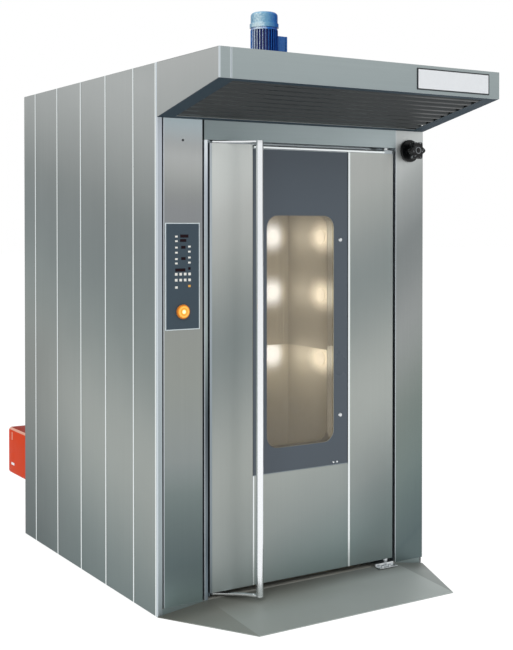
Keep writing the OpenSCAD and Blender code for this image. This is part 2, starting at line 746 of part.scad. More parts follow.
// Flange, blast tube, housing and the arm that carries the fan motor
module burner_body() placed() color("darkgray") difference() {
    union() {
        rod_y(burner_x, body_d, burner_z, burner_flange_r, burner_flange_t);
        rod_y(burner_x, casing_back - 35, burner_z, blast_r, body_d - casing_back + 36);
        span([burner_x - housing_half_w, body_d + burner_flange_t - 1, burner_z - housing_half_h],
            [burner_x + housing_half_w, cover_y - rim_t + 1, burner_z + housing_half_h]);
        translate([0, cover_y, 0]) rotate([90, 0, 0]) linear_extrude(rim_t)
            rounded_window(burner_x - burner_w / 2, burner_x + burner_w / 2,
                burner_z - burner_h / 2, burner_z + burner_h / 2, burner_edge_r);
        span([burner_motor_x, cover_y - 1, burner_z - arm_half],
            [burner_motor_x + arm_t, wheel_y + arm_half, burner_z + arm_half]);
        translate([burner_motor_x + arm_t - 1, wheel_y, burner_z]) rotate([0, 90, 0])
            cylinder(r = burner_motor_r, h = burner_motor_l);
    }
    rod_y(burner_x, casing_back - 36, burner_z, blast_r - 4, body_d - casing_back + 20);
    translate([burner_motor_x - 1, wheel_y, burner_z]) rotate([0, 90, 0])
        cylinder(r = motor_shaft_r + run, h = 60);
}
module rounded_block(low, high, r) hull()
    for (x = [low[0] + r, high[0] - r], y = [low[1] + r, high[1] - r], z = [low[2] + r, high[2] - r])
        translate([x, y, z]) sphere(r = r, $fn = 24);
cover_wall = 4;
module burner_cover() placed() color("orangered") {
    low = [burner_x - burner_w / 2, cover_y - 3 * burner_edge_r, burner_z - burner_h / 2];
    high = [burner_x + burner_w / 2, cover_y + burner_d, burner_z + burner_h / 2];
    wall = [cover_wall, 0, cover_wall];
    difference() {
        rounded_block(low, high, burner_edge_r);
        rounded_block(low + wall, high - wall - [0, cover_wall, 0], burner_edge_r - cover_wall);
        span(low - [1, 1, 1], [high[0] + 1, cover_y + fit, high[2] + 1]);
    }
}
wheel_w = 60;
wheel_disc_t = 4;
wheel_blades = 16;
blade_w = 18;
blade_t = 2;
// Fan wheel with its hub at the origin of the motor's axis
module burner_fan() placed() color("gray")
translate([burner_motor_x - 5, wheel_y, burner_z]) rotate([0, 90, 0]) {
    translate([0, 0, -wheel_disc_t]) cylinder(r = wheel_r, h = wheel_disc_t);
    for (i = [0 : wheel_blades - 1]) rotate([0, 0, 360 / wheel_blades * i])
        translate([wheel_r - blade_w - 2, -blade_t / 2, -wheel_w])
            cube([blade_w, blade_t, wheel_w - wheel_disc_t + 1]);
    translate([0, 0, -wheel_w]) cylinder(r = 2 * motor_shaft_r, h = wheel_w);
    translate([0, 0, -1]) cylinder(r = motor_shaft_r, h = 50);
}
cascade_gap = 62;
cascade_rear = header_back - cascade_gap;
cascade_top = ceiling_z - 120;
post_w = 30;
post_inset = 20;
tray_count = 6;
tray_w = 190;
tray_t = 20;
tray_pitch = 75;
tray_shift = 25;
// Cast trays on four posts that stand on the front header and on the upper tubes
module steam_cascade() placed() color("sienna") {
    front = header_front + post_inset;
    for (x = [tube_cols[0] - 10, tube_cols[2] - 10]) {
        span([x, front, header_top], [x + post_w, front + post_w, cascade_top]);
        span([x, cascade_rear, tube_top + tube_r + fit],
            [x + post_w, cascade_rear + post_w, cascade_top]);
    }
    for (i = [0 : tray_count - 1])
        translate([tube_cols[0] - 20 + tray_shift * (i % 2), front + 7, header_top + 90 + tray_pitch * i])
            cube([tray_w, cascade_rear - front - 2, tray_t]);
}
water_start = header_front + 29;
water_reach = 40;
module water_pipe() placed() color("goldenrod") difference() {
    union() {
        rod_y(water_x, water_start, water_z, water_r, body_d + water_reach - water_start);
        rod_y(water_x, body_d + fit, water_z, water_r + collar_lap, collar_t);
    }
    rod_y(water_x, water_start - 1, water_z, water_r - 2, body_d + water_reach - water_start + 2);
}
module steam_duct() placed() color("silver") difference() {
    union() {
        span([duct_x, duct_y - duct_half_w, ceiling_z + wall_t],
            [duct_end, duct_y + duct_half_w, damper_z + duct_half_h]);
        roof_pipe(duct_pipe_x, duct_y, damper_z, duct_pipe_r, sheet_t, duct_gap);
    }
    span([duct_x + sheet_t, duct_y - duct_half_w + sheet_t, ceiling_z + wall_t - 1],
        [duct_end - sheet_t, duct_y + duct_half_w - sheet_t, damper_z + duct_half_h - sheet_t]);
    rod_z(duct_pipe_x, duct_y, damper_z, duct_pipe_r - sheet_t, body_h + spigot_h - damper_z + 1);
    rod_y(damper_x, duct_y - duct_half_w - 1, damper_z, damper_shaft_r + run, 2 * duct_half_w + 2);
}
damper_flange_r = 57;
damper_flange_t = 14;
module damper_flange() placed() color("black") difference() {
    rod_y(damper_x, -damper_flange_t, damper_z, damper_flange_r, damper_flange_t);
    rod_y(damper_x, -damper_flange_t - 1, damper_z, damper_shaft_r + run, damper_flange_t + 2);
}
knob_r = 42;
knob_lobe = 6;
lobe_count = 6;
knob_y = -76;
knob_t = 30;
knob_hub_r = 16;
// Lobed hand knob, its hub and the shaft that carries the flap
module damper_knob() placed() color("black") {
    hub_end = -damper_flange_t - fit;
    translate([damper_x, knob_y + knob_t, damper_z]) rotate([90, 0, 0]) linear_extrude(knob_t)
        polygon([for (a = [0 : 5 : 355]) (knob_r + knob_lobe * cos(lobe_count * a)) * [cos(a), sin(a)]]);
    rod_y(damper_x, knob_y + knob_t - 1, damper_z, knob_hub_r, hub_end - knob_y - knob_t + 1);
    rod_y(damper_x, hub_end - 1, damper_z, damper_shaft_r, duct_y + duct_half_w + 1 - hub_end);
}
flap_half = duct_half_h - 3;
module damper_flap() placed() color("silver") difference() {
    span([damper_x - flap_half, duct_y - duct_half_w + 4, damper_z - 1.5],
        [damper_x + flap_half, duct_y + duct_half_w - 4, damper_z + 1.5]);
    rod_y(damper_x, duct_y - duct_half_w, damper_z, damper_shaft_r, 2 * duct_half_w);
}

// ---- hinges ----
bracket_h = 16;
bracket_l = 95;
bracket_r = 20;
bracket_rear = 50;
foot_y = -58;
foot_t = 4;
bolt_r = 8;
pin_depth = 8;
// Lower bracket on a bolted foot plate, and the upper pin under the lintel
module hinge_brackets() placed() color("lightgray") {
    top = floor_h + fit + bracket_h;
    span([hinge_x - bracket_l, -22, floor_h + fit], [hinge_x + bracket_r, bracket_rear, top]);
    span([hinge_x - bracket_l, foot_y, floor_h + fit], [hinge_x + bracket_r, -21, floor_h + fit + foot_t]);
    for (x = [hinge_x - 65, hinge_x - 20]) rod_z(x, foot_y + 16, floor_h + foot_t, bolt_r, 8);
    rod_z(hinge_x, hinge_y, top - 1, hinge_pin_r + 6, door_z - top + 1 - fit);
    rod_z(hinge_x, hinge_y, top - 1, hinge_pin_r, door_z + pin_depth - top + 1);
    rod_z(hinge_x, hinge_y, door_top + fit, hinge_pin_r + 6, lintel_gap - 2 * fit);
    rod_z(hinge_x, hinge_y, door_top - pin_depth, hinge_pin_r, lintel_gap);
}

// ---- roof drive ----
rotor_shaft_z = ceiling_z - 50;
gear_top = body_h + gearbox_h;
motor_top = gear_top + motor_h;
module gearbox() placed() color("royalblue") difference() {
    union() {
        rod_z(rotor_x, rotor_y, body_h, 110, 12);
        rod_z(rotor_x, rotor_y, body_h, 82, gearbox_h);
        rod_z(rotor_x, rotor_y, gear_top - 12, 92, 12);
    }
    rod_z(rotor_x, rotor_y, body_h - 1, rotor_r + run, gearbox_h - 10);
}
fin_count = 28;
fin_t = 2.5;
end_ring = 12;
motor_shaft_r = 8;
fan_stub = 40;
// Finned barrel of a motor, standing on the origin
module finned_barrel(r, height) {
    cylinder(r = r - fin_h, h = height);
    cylinder(r = r, h = end_ring);
    translate([0, 0, height - end_ring]) cylinder(r = r - 3, h = end_ring);
    for (i = [0 : fin_count - 1]) rotate([0, 0, 360 / fin_count * i])
        translate([r - fin_h - 1, -fin_t / 2, end_ring - 1])
            cube([fin_h + 1, fin_t, height - 2 * end_ring + 2]);
}
terminal_z = 88;
terminal_w = 90;
terminal_h = 83;
fin_h = 11;
module motor_body() placed() color("royalblue") translate([rotor_x, rotor_y, gear_top]) difference() {
    union() {
        finned_barrel(motor_r, motor_h);
        span([motor_r - fin_h - 4, -terminal_w / 2, terminal_z],
            [terminal_reach, terminal_w / 2, terminal_z + terminal_h]);
    }
    translate([0, 0, motor_h - fan_stub]) cylinder(r = motor_shaft_r + run, h = fan_stub + 1);
}
module motor_cowl() placed() color("lightskyblue") translate([rotor_x, rotor_y, motor_top])
    rotate_extrude($fn = 64) polygon(concat(
        [[motor_r - 3, 0], [cowl_lip_r, 0], [cowl_lip_r, 22], [motor_r - 1, 25]],
        [for (a = [0 : 15 : 90])
            [motor_r - 21 + 20 * cos(a), cowl_h - 20 + 20 * sin(a)]],
        [[20, cowl_h], [20, cowl_h - 2]],
        [for (a = [90 : -15 : 0])
            [motor_r - 21 + 18 * cos(a), cowl_h - 20 + 18 * sin(a)]]));
cooling_blades = 7;
cooling_r = motor_r - 12;
module motor_fan() placed() color("gray") translate([rotor_x, rotor_y, motor_top]) {
    translate([0, 0, 10 - fan_stub]) cylinder(r = motor_shaft_r, h = fan_stub + 30);
    translate([0, 0, 12]) cylinder(r = 16, h = 30);
    for (i = [0 : cooling_blades - 1]) rotate([0, 0, 360 / cooling_blades * i])
        translate([14, -1.5, 14]) cube([cooling_r - 14, 3, 26]);
}
module rotor_shaft() placed() color("silver")
    rod_z(rotor_x, rotor_y, rotor_shaft_z, rotor_r, body_h + 90 - rotor_shaft_z);
module rack_hook() placed() color("gray") translate([rotor_x, rotor_y, 0]) {
    rod_z(0, 0, rotor_shaft_z - 12, 90, 12);
    for (side = [-1, 1]) {
        span([side * 66 - 5, -35, rotor_shaft_z - 84], [side * 66 + 5, 35, rotor_shaft_z - 11]);
        span([side * 50 - 21, -35, rotor_shaft_z - 94], [side * 50 + 21, 35, rotor_shaft_z - 84 + 0.1]);
    }
}

// ---- circulation fan ----
fan_y = chamber_back + 215;
fan_flange_r = 108;
fan_flange_t = 12;
fan_motor_r = 88;
fan_motor_l = 250;
fan_bore = 80;
module fan_motor() placed() color("royalblue") translate([rotor_x, body_d, fan_z]) rotate([-90, 0, 0])
    difference() {
        union() {
            cylinder(r = fan_flange_r, h = fan_flange_t);
            translate([0, 0, fan_flange_t - 1]) finned_barrel(fan_motor_r, fan_motor_l);
        }
        translate([0, 0, -1]) cylinder(r = fan_shaft_r + run, h = fan_bore);
    }
fan_w = 120;
fan_disc_t = 4;
fan_eye_r = 140;
fan_hub_r = 30;
fan_blades = 12;
fan_blade_t = 3;
// Two discs with the blades between them, the hub and the shaft into the motor
module fan_wheel() placed() color("silver") translate([rotor_x, fan_y, fan_z]) rotate([-90, 0, 0]) {
    difference() {
        cylinder(r = fan_r, h = fan_disc_t);
        translate([0, 0, -1]) cylinder(r = fan_eye_r, h = fan_disc_t + 2);
    }
    translate([0, 0, fan_w - fan_disc_t]) cylinder(r = fan_r, h = fan_disc_t);
    translate([0, 0, fan_w / 2]) cylinder(r = fan_hub_r, h = fan_w / 2);
    for (i = [0 : fan_blades - 1]) rotate([0, 0, 360 / fan_blades * i])
        translate([fan_eye_r + 2, -fan_blade_t / 2, fan_disc_t - 1])
            cube([fan_r - fan_eye_r - 5, fan_blade_t, fan_w - 2 * fan_disc_t + 2]);
    translate([0, 0, fan_w - 1]) cylinder(r = fan_shaft_r, h = body_d + fan_bore - 20 - fan_y - fan_w + 1);
}

// ---- door ----
skin_l_x = door_x + edge_strip_w;
glass_x = skin_l_x + left_skin_w + 3;
right_skin_x = door_r - right_skin_w;
skin_top = door_top - cap_h;
glass_z = door_z + lower_skin_h + 3;
window_r_edge = right_skin_x - window_margin;
window_top = door_top - window_head;
tunnel_x0 = window_x - 27;
tunnel_x1 = window_r_edge + 26;
tunnel_z0 = window_z - 25;
tunnel_z1 = window_top + 25;
module door_frame() placed() color("gainsboro") difference() {
    union() {
        member([door_x, skin_t, door_z], [door_x + stile_w, door_t, door_top], 8);
        span([door_x, 0, door_z], [skin_l_x - fit, skin_t + 0.1, door_top]);
        member([door_r - stile_w, skin_t, door_z], [door_r, door_t, door_top], 8);
        member([door_x + stile_w - 1, surround_t + 2, door_top - rail_w],
            [door_r - stile_w + 1, door_t, door_top]);
        member([door_x + stile_w - 1, skin_t, door_z], [door_r - stile_w + 1, door_t, door_z + rail_w]);
        member([door_x + stile_w - 1, skin_t, glass_z - rail_w], [door_r - stile_w + 1, door_t, glass_z]);
        member([glass_x, surround_t + 2, glass_z - 1], [tunnel_x0, door_t, door_top - rail_w + 1]);
        member([tunnel_x1, surround_t + 2, glass_z - 1], [right_skin_x, door_t, door_top - rail_w + 1]);
        member([tunnel_x0 - 1, surround_t + 2, glass_z - 1], [tunnel_x1 + 1, door_t, tunnel_z0]);
        member([tunnel_x0 - 1, surround_t + 2, tunnel_z1], [tunnel_x1 + 1, door_t, door_top - rail_w + 1]);
    }
    rod_z(pivot_x, pivot_y, door_z - 1, latch_r + run, door_top - door_z + 2);
    rod_z(hinge_x, hinge_y, door_z - 1, hinge_pin_r + run, 10);
    rod_z(hinge_x, hinge_y, door_top - 9, hinge_pin_r + run, 10);
}
module door_skins() placed() color(steel) {
    span([skin_l_x, 0, door_z], [skin_l_x + left_skin_w, skin_t - 0.1, door_top]);
    span([right_skin_x, 0, door_z], [door_r, skin_t - 0.1, skin_top]);
    span([skin_l_x + left_skin_w + trim_w - 3, 0, door_z],
        [right_skin_x - trim_w - 1, skin_t - 0.1, door_z + lower_skin_h]);
}
module door_trim() placed() color("white") {
    span([right_skin_x - trim_w - 0.5, -1, door_z], [right_skin_x - 0.5, skin_t - 0.2, skin_top]);
    span([skin_l_x + left_skin_w + 0.5, -1, door_z],
        [skin_l_x + left_skin_w + trim_w - 3.5, skin_t - 0.2, door_z + lower_skin_h]);
    difference() {
        translate([glass_x, 0, skin_top + cap_h / 2]) rotate([0, 90, 0])
            cylinder(r = cap_h / 2 - fit, h = hinge_x - 30 - glass_x);
        span([glass_x - 1, skin_t - 0.2, skin_top - 1], [hinge_x, cap_h, door_top + 1]);
    }
}
module rounded_window(x0, x1, z0, z1, r) {
    translate([x0 + r, z0]) square([x1 - x0 - 2 * r, z1 - z0]);
    translate([x0, z0 + r]) square([x1 - x0, z1 - z0 - 2 * r]);
    for (x = [x0 + r, x1 - r], z = [z0 + r, z1 - r]) translate([x, z]) circle(r = r);
}
// Plate in the door's plane from y, with the rounded window cut out
module glazed_sheet(low, high) difference() {
    span(low, high);
    translate([0, high[1] + 1, 0]) rotate([90, 0, 0]) linear_extrude(high[1] - low[1] + 2)
        rounded_window(window_x, window_r_edge, window_z, window_top, window_r);
}
module window_surround() placed() color("slategray")
    glazed_sheet([glass_x, 2, glass_z], [right_skin_x - trim_w - 3, surround_t + 1.9, skin_top - 2]);
// Panes behind the surround and in front of the liner
module window_glass() placed() color("lightblue", 0.4)
    for (y = [surround_t + 2, door_t - glass_t - 0.1])
        span([window_x - glass_lap, y, window_z - glass_lap],
            [window_r_edge + glass_lap, y + glass_t, window_top + glass_lap]);
module door_liner() placed() color(steel)
    glazed_sheet([door_x + 15, door_t, door_z + 12], [door_r - 100, door_t + skin_t, door_top - 4]);
// Wool between the stiles, the middle rail and the window frame
module wool_block(x0, x1, z0, z1)
    span([x0 + fit, skin_t + fit, z0 + fit], [x1 - fit, door_t - fit, z1 - fit]);
module door_wool() placed() color("khaki") {
    wool_block(door_x + stile_w, door_r - stile_w, door_z + rail_w, glass_z - rail_w);
    wool_block(door_x + stile_w, glass_x, glass_z, door_top - rail_w);
    wool_block(right_skin_x, door_r - stile_w, glass_z, door_top - rail_w);
}
seal_w = 16;
seal_l = mouth_l - seal_w - 6;
seal_r = mouth_r + 26;
lip_h = 47;
module door_seal() placed() color("dimgray") {
    back = door_t + skin_t;
    span([seal_l, back, floor_h + lip_h + fit], [seal_l + seal_w, back + seal_t, ceiling_z + 6]);
    span([seal_r - seal_w, back, floor_h + lip_h + fit], [seal_r, back + seal_t, ceiling_z + 6]);
    span([seal_l, back, ceiling_z + 6], [seal_r, back + seal_t, ceiling_z + 6 + seal_w]);
    span([mouth_l + 10, back, floor_h + 2], [mouth_r - 4, back + 6, floor_h + lip_h]);
}

// ---- handle and latch ----
crank_low_z = door_z - crank_t - 8;
crank_top_z = door_top + 2.5;
elbow_share = [0.72, 0.6];
tooth_angle = 75;
tooth_reach = 28;
tooth_len = 16;
tooth_w = 10;
module crank(z) translate([pivot_x, pivot_y, z]) difference() {
    elbow = [handle_dx * elbow_share[0], -handle_dy * elbow_share[1]];
    grip = [handle_dx, -handle_dy];
    nose = tooth_reach * [cos(tooth_angle), sin(tooth_angle)];
    tip = nose + tooth_len * [cos(tooth_angle + 90), sin(tooth_angle + 90)];
    union() {
        cylinder(r = 2 * latch_r, h = crank_t);
        bent_bar([0, 0], elbow, grip, crank_w, crank_t);
        translate(grip) cylinder(r = handle_r, h = crank_t);
        bent_bar([0, 0], nose, tip, tooth_w, crank_t);
    }
    translate([0, 0, -1]) cylinder(r = latch_r, h = crank_t + 2);
}
module handle_cranks() placed() color("white") {
    crank(crank_low_z);
    crank(crank_top_z);
}
module latch_shaft() placed() color("silver")
    rod_z(pivot_x, pivot_y, crank_low_z, latch_r, crank_top_z + crank_t - crank_low_z);
module handle_bar() placed() color("white") difference() {
    rod_z(pivot_x + handle_dx, pivot_y - handle_dy, crank_low_z + crank_t, handle_r,
        crank_top_z - crank_low_z - crank_t);
    rod_z(pivot_x + handle_dx, pivot_y - handle_dy, crank_low_z + crank_t - 1, handle_r - handle_wall,
        crank_top_z - crank_low_z - crank_t + 2);
}

base_frame();
entry_ramp();
left_cladding();
right_cladding();
seam_strips();
rear_cladding();
roof_panel();
front_frame();
control_column();
right_column();
lintel_panel();
control_box();
control_panel();
display_windows();
keypad_keys();
button_collar();
start_button();
hood_shell();
hood_fascia();
hood_slats();
hood_plate();
inner_casing();
wool_slabs();
chamber_left_wall();
chamber_right_wall();
chamber_rear_wall();
chamber_ceiling();
chamber_lamps();
combustion_chamber();
exchanger_tubes();
flue_pipe();
burner_body();
burner_cover();
burner_fan();
steam_cascade();
water_pipe();
steam_duct();
damper_flange();
damper_knob();
damper_flap();
hinge_brackets();
gearbox();
motor_body();
motor_cowl();
motor_fan();
rotor_shaft();
rack_hook();
fan_motor();
fan_wheel();
door_frame();
door_skins();
door_trim();
window_surround();
window_glass();
door_wool();
door_liner();
door_seal();
handle_bar();
handle_cranks();
latch_shaft();
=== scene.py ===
import json
import math

import bmesh
import bpy
from mathutils import Matrix, Vector

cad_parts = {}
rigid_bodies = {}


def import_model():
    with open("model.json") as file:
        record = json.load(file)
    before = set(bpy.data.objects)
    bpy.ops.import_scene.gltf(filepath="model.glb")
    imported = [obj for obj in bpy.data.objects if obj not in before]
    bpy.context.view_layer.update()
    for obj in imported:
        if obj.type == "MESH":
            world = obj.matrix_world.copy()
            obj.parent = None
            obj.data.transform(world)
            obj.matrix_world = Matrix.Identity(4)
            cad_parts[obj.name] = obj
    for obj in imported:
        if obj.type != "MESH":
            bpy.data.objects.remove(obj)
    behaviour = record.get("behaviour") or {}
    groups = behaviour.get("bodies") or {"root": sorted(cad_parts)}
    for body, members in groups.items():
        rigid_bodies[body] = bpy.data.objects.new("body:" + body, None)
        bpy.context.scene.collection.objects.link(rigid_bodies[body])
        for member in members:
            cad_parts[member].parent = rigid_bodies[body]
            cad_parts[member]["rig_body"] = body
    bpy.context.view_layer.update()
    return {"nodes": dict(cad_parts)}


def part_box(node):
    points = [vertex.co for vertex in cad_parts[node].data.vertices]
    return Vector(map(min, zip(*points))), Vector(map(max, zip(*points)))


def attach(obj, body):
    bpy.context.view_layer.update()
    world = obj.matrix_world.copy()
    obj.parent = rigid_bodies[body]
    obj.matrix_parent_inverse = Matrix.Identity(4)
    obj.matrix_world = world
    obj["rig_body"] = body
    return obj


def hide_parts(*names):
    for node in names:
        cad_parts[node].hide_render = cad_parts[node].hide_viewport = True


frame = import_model()

# ---- Viewpoint ----
# A long lens left of the oven at eye height. It is almost level, so that the uprights stay upright, and
# shifted down to take in the floor.
eye = Vector((-3.110, -5.398, 1.773))
turn_right, look_down = math.radians(32.072), math.radians(-0.851)
camera_data = bpy.data.cameras.new("camera")
camera_data.sensor_width = 36.0
camera_data.lens = 63.10
camera_data.shift_y = -0.1287
camera_data.clip_end = 200.0
camera = bpy.data.objects.new("camera", camera_data)
gaze = Vector((math.sin(turn_right) * math.cos(look_down), math.cos(turn_right) * math.cos(look_down),
    math.sin(look_down)))
camera.location = eye
camera.rotation_mode = "QUATERNION"
camera.rotation_quaternion = gaze.to_track_quat("-Z", "Y")
bpy.context.scene.collection.objects.link(camera)
bpy.context.scene.camera = camera
bpy.context.scene.view_settings.view_transform = "Standard"


# ---- Studio floor and lights ----
# A white floor under a white surround with one dark card at the right, which gives the round metal its
# shade. Three large soft lamps: left front, right front and over the roof.
def paint(red, green, blue):
    """Linear colour of a paint chip read as 0 to 255."""
    chip = [c / 255 for c in (red, green, blue)]
    return tuple(c / 12.92 if c < 0.04045 else ((c + 0.055) / 1.055) ** 2.4 for c in chip) + (1.0,)


class Flow:
    """A value in a node tree. Sums and products of flows add their Math nodes."""

    def __init__(self, tree, socket=None):
        self.tree = tree
        self.socket = socket

    def node(self, kind, settings=None, sockets=None, out=0):
        """Adds a node: first its settings, then the values or links of its sockets."""
        made = self.tree.nodes.new(kind)
        for name, value in (settings or {}).items():
            if name == "stops":
                ramp = made.color_ramp
                ramp.interpolation = "CARDINAL"
                ramp.elements[0].position, ramp.elements[0].color = value[0]
                ramp.elements[-1].position, ramp.elements[-1].color = value[-1]
                for place, colour in value[1:-1]:
                    ramp.elements.new(place).color = colour
            else:
                setattr(made, name, value)
        for name, value in (sockets or {}).items():
            if isinstance(value, Flow):
                self.tree.links.new(value.socket, made.inputs[name])
            else:
                made.inputs[name].default_value = value
        return Flow(self.tree, made.outputs[out] if made.outputs else None)

    def maths(self, operation, first, second=0.0):
        return self.node("ShaderNodeMath", {"operation": operation}, {0: first, 1: second})

    def __add__(self, other):
        return self.maths("ADD", self, other)

    def __sub__(self, other):
        return self.maths("SUBTRACT", self, other)

    def __rsub__(self, other):
        return self.maths("SUBTRACT", other, self)

    def __mul__(self, other):
        return self.maths("MULTIPLY", self, other)

    def __truediv__(self, other):
        return self.maths("DIVIDE", self, other)

    __radd__ = __add__
    __rmul__ = __mul__

    def least(self, other):
        return self.maths("MINIMUM", self, other)

    def away(self, spot):
        """Distance from a spot on the same axis."""
        return self.maths("ABSOLUTE", self - spot)

    def between(self, low, high, first=0.0, last=1.0):
        """Goes smoothly from first to last while this value goes from low to high."""
        return self.node("ShaderNodeMapRange", {"interpolation_type": "SMOOTHSTEP"},
            {"Value": self, "From Min": low, "From Max": high, "To Min": first, "To Max": last})

    def mixed(self, first, second, blend="MIX"):
        """The first colour where this value is 0 and the second where it is 1."""
        return self.node("ShaderNodeMix", {"data_type": "RGBA", "blend_type": blend},
            {0: self, 6: first, 7: second}, out=2)

    def axes(self):
        """The x, y and z of this place."""
        return [self.node("ShaderNodeSeparateXYZ", {}, {0: self}, out=axis) for axis in "XYZ"]


def open_finish(name):
    """Starts a material and gives it, its tree and the place on the piece."""
    material = bpy.data.materials.new(name)
    material.use_nodes = True
    material.node_tree.nodes.clear()
    start = Flow(material.node_tree)
    return material, start, start.node("ShaderNodeTexCoord", out="Object")


def close_finish(start, sockets):
    shader = start.node("ShaderNodeBsdfPrincipled", {}, sockets)
    start.node("ShaderNodeOutputMaterial", {}, {"Surface": shader})


def seen_directly(start, *rays):
    """1 for the named kinds of ray."""
    total = start.node("ShaderNodeLightPath", out=rays[0])
    for ray in rays[1:]:
        total = total + start.node("ShaderNodeLightPath", out=ray)
    return total.least(1.0)


floor_size, floor_glow, floor_glow_share = 60.0, 1.2, 0.72
floor_mesh = bpy.data.meshes.new("studio_floor")
floor_corners = [(x * floor_size, y * floor_size, 0.0) for x, y in ((-1, -1), (1, -1), (1, 1), (-1, 1))]
floor_mesh.from_pydata(floor_corners, [], [(0, 1, 2, 3)])
floor = bpy.data.objects.new("studio_floor", floor_mesh)
bpy.context.scene.collection.objects.link(floor)
floor_paint, start, place = open_finish("studio_floor")
matt = start.node("ShaderNodeBsdfDiffuse", {}, {"Color": paint(238, 238, 238)})
glow = start.node("ShaderNodeEmission", {}, {"Color": (1, 1, 1, 1), "Strength": floor_glow})
direct = seen_directly(start, "Is Camera Ray", "Is Glossy Ray", "Is Transmission Ray")
floor_mix = start.node("ShaderNodeMixShader", {}, {0: direct * floor_glow_share, 1: matt, 2: glow})
start.node("ShaderNodeOutputMaterial", {}, {"Surface": floor_mix})
floor_mesh.materials.append(floor_paint)

world = bpy.data.worlds.new("studio")
bpy.context.scene.world = world
world.use_nodes = True
world.node_tree.nodes.clear()
start = Flow(world.node_tree)
light_level, card_begins, card_full, card_level = 0.66, 0.76, 0.97, 0.16
toward_right = start.node("ShaderNodeTexCoord", out="Generated").axes()[0]
card_shade = toward_right.between(card_begins, card_full, 1.0, card_level)
surround = start.node("ShaderNodeBackground", {}, {"Color": (1, 1, 1, 1), "Strength": light_level})
mirrored = start.node("ShaderNodeBackground", {}, {"Color": (1, 1, 1, 1), "Strength": card_shade})
white = start.node("ShaderNodeBackground", {}, {"Color": (1, 1, 1, 1), "Strength": 1.0})
both = start.node("ShaderNodeMixShader", {},
    {0: seen_directly(start, "Is Glossy Ray"), 1: surround, 2: mirrored})
both = start.node("ShaderNodeMixShader", {},
    {0: seen_directly(start, "Is Camera Ray", "Is Transmission Ray"), 1: both, 2: white})
start.node("ShaderNodeOutputWorld", {}, {"Surface": both})

lamp_aim = Vector((0.0, -0.2, 1.2))
for name, spot, size, power in (("left_lamp", (-4.0, -4.5, 4.5), 3.0, 150.0),
        ("right_lamp", (4.5, -3.5, 3.0), 3.0, 60.0), ("roof_lamp", (0.5, 1.0, 6.0), 4.0, 90.0)):
    lamp = bpy.data.lights.new(name, "AREA")
    lamp.size = size
    lamp.energy = power
    lamp_object = bpy.data.objects.new(name, lamp)
    lamp_object.location = spot
    lamp_object.rotation_mode = "QUATERNION"
    lamp_object.rotation_quaternion = (lamp_aim - Vector(spot)).to_track_quat("-Z", "Y")
    lamp_object.visible_glossy = False
    bpy.context.scene.collection.objects.link(lamp_object)


# ---- Base and entry ramp ----
# The base is a welded floor plate on ribs. The ramp is one folded plate that a tray rack rolls over.
# Both are hot rolled steel and dull. Next to the door the ramp carries a brown and dark painted shadow,
# its sloped side facets are painted as shade, and the base is painted light so that it stays pale there.
def dressed(nodes, finish):
    """Gives CAD nodes their finish and keeps their shape."""
    for name in nodes:
        mesh = frame["nodes"][name].data
        mesh.materials.clear()
        mesh.materials.append(finish)


def shown(name, mesh, finishes, body, replaced=()):
    """Puts a finished mesh into the scene as a piece on a body."""
    for finish in finishes:
        mesh.materials.append(finish)
    piece = bpy.data.objects.new(name, mesh)
    bpy.context.scene.collection.objects.link(piece)
    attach(piece, body)
    if replaced:
        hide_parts(*replaced)


def smoothed(mesh, angle=35.0):
    """Shades a mesh smooth between the edges that are sharper than the angle."""
    mesh.shade_smooth()
    mesh.set_sharp_from_angle(angle=math.radians(angle))


weld_gap, flat_angle, eased_angle, shaded_angle = 1e-6, 0.5, 30.0, 20.0


def eased(node, finishes, radius=0.0008, segments=2, facing=None):
    """A copy of a CAD node with eased outer edges. facing gives the number of the finish of a face."""
    solid = frame["nodes"][node]
    work = bmesh.new()
    work.from_mesh(solid.data)
    bmesh.ops.remove_doubles(work, verts=work.verts, dist=weld_gap)
    bmesh.ops.dissolve_limit(work, angle_limit=math.radians(flat_angle), verts=work.verts, edges=work.edges)
    work.normal_update()
    sharp = [edge for edge in work.edges
        if edge.is_manifold and edge.is_convex and edge.calc_face_angle(0.0) > math.radians(eased_angle)]
    bmesh.ops.bevel(work, geom=sharp, offset=radius, segments=segments, profile=0.6,
        affect="EDGES", clamp_overlap=True)
    work.normal_update()
    for face in work.faces:
        face.material_index = int(facing(face)) if facing else 0
    mesh = bpy.data.meshes.new(node + "_eased")
    work.to_mesh(mesh)
    work.free()
    smoothed(mesh, shaded_angle)
    shown(node + "_eased", mesh, finishes, solid["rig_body"], (node,))


def coated(name, colour, roughness=0.6, metallic=0.7, scale=9.0, spread=0.25, shine=0.5, grain=0.12):
    """Paint, plastic or dull metal with soft stains and a fine grain."""
    finish, start, place = open_finish(name)
    stain = start.node("ShaderNodeTexNoise", {}, {"Vector": place, "Scale": scale, "Detail": 6.0})
    fine = start.node("ShaderNodeTexNoise", {}, {"Vector": place, "Scale": scale * 40, "Detail": 2.0})
    tone = (stain * 0.8 + fine * 0.2 - 0.5) * spread
    darker = tuple(c * 0.45 for c in colour[:3]) + (1.0,)
    lighter = tuple(min(1.0, c * 1.35) for c in colour[:3]) + (1.0,)
    rough = start.node("ShaderNodeBump", {}, {"Strength": grain, "Distance": 0.0005, "Height": fine})
    close_finish(start, {"Base Color": (tone + 0.6).mixed(darker, lighter), "Metallic": metallic,
        "Roughness": stain * 0.25 + (roughness - 0.12), "Normal": rough, "Specular IOR Level": shine})
    return finish


# Painted light: the base's paint is made pale so that its top stays light in the shade under the door.
base_painted_light = coated("base_steel_lightened", paint(150, 150, 142), roughness=0.6, metallic=0.2)
base_front = coated("base_front", paint(118, 132, 132), roughness=0.5, metallic=0.5)
eased("base_frame", [base_painted_light, base_front], radius=0.0006,
    facing=lambda face: face.normal.y < -0.5)


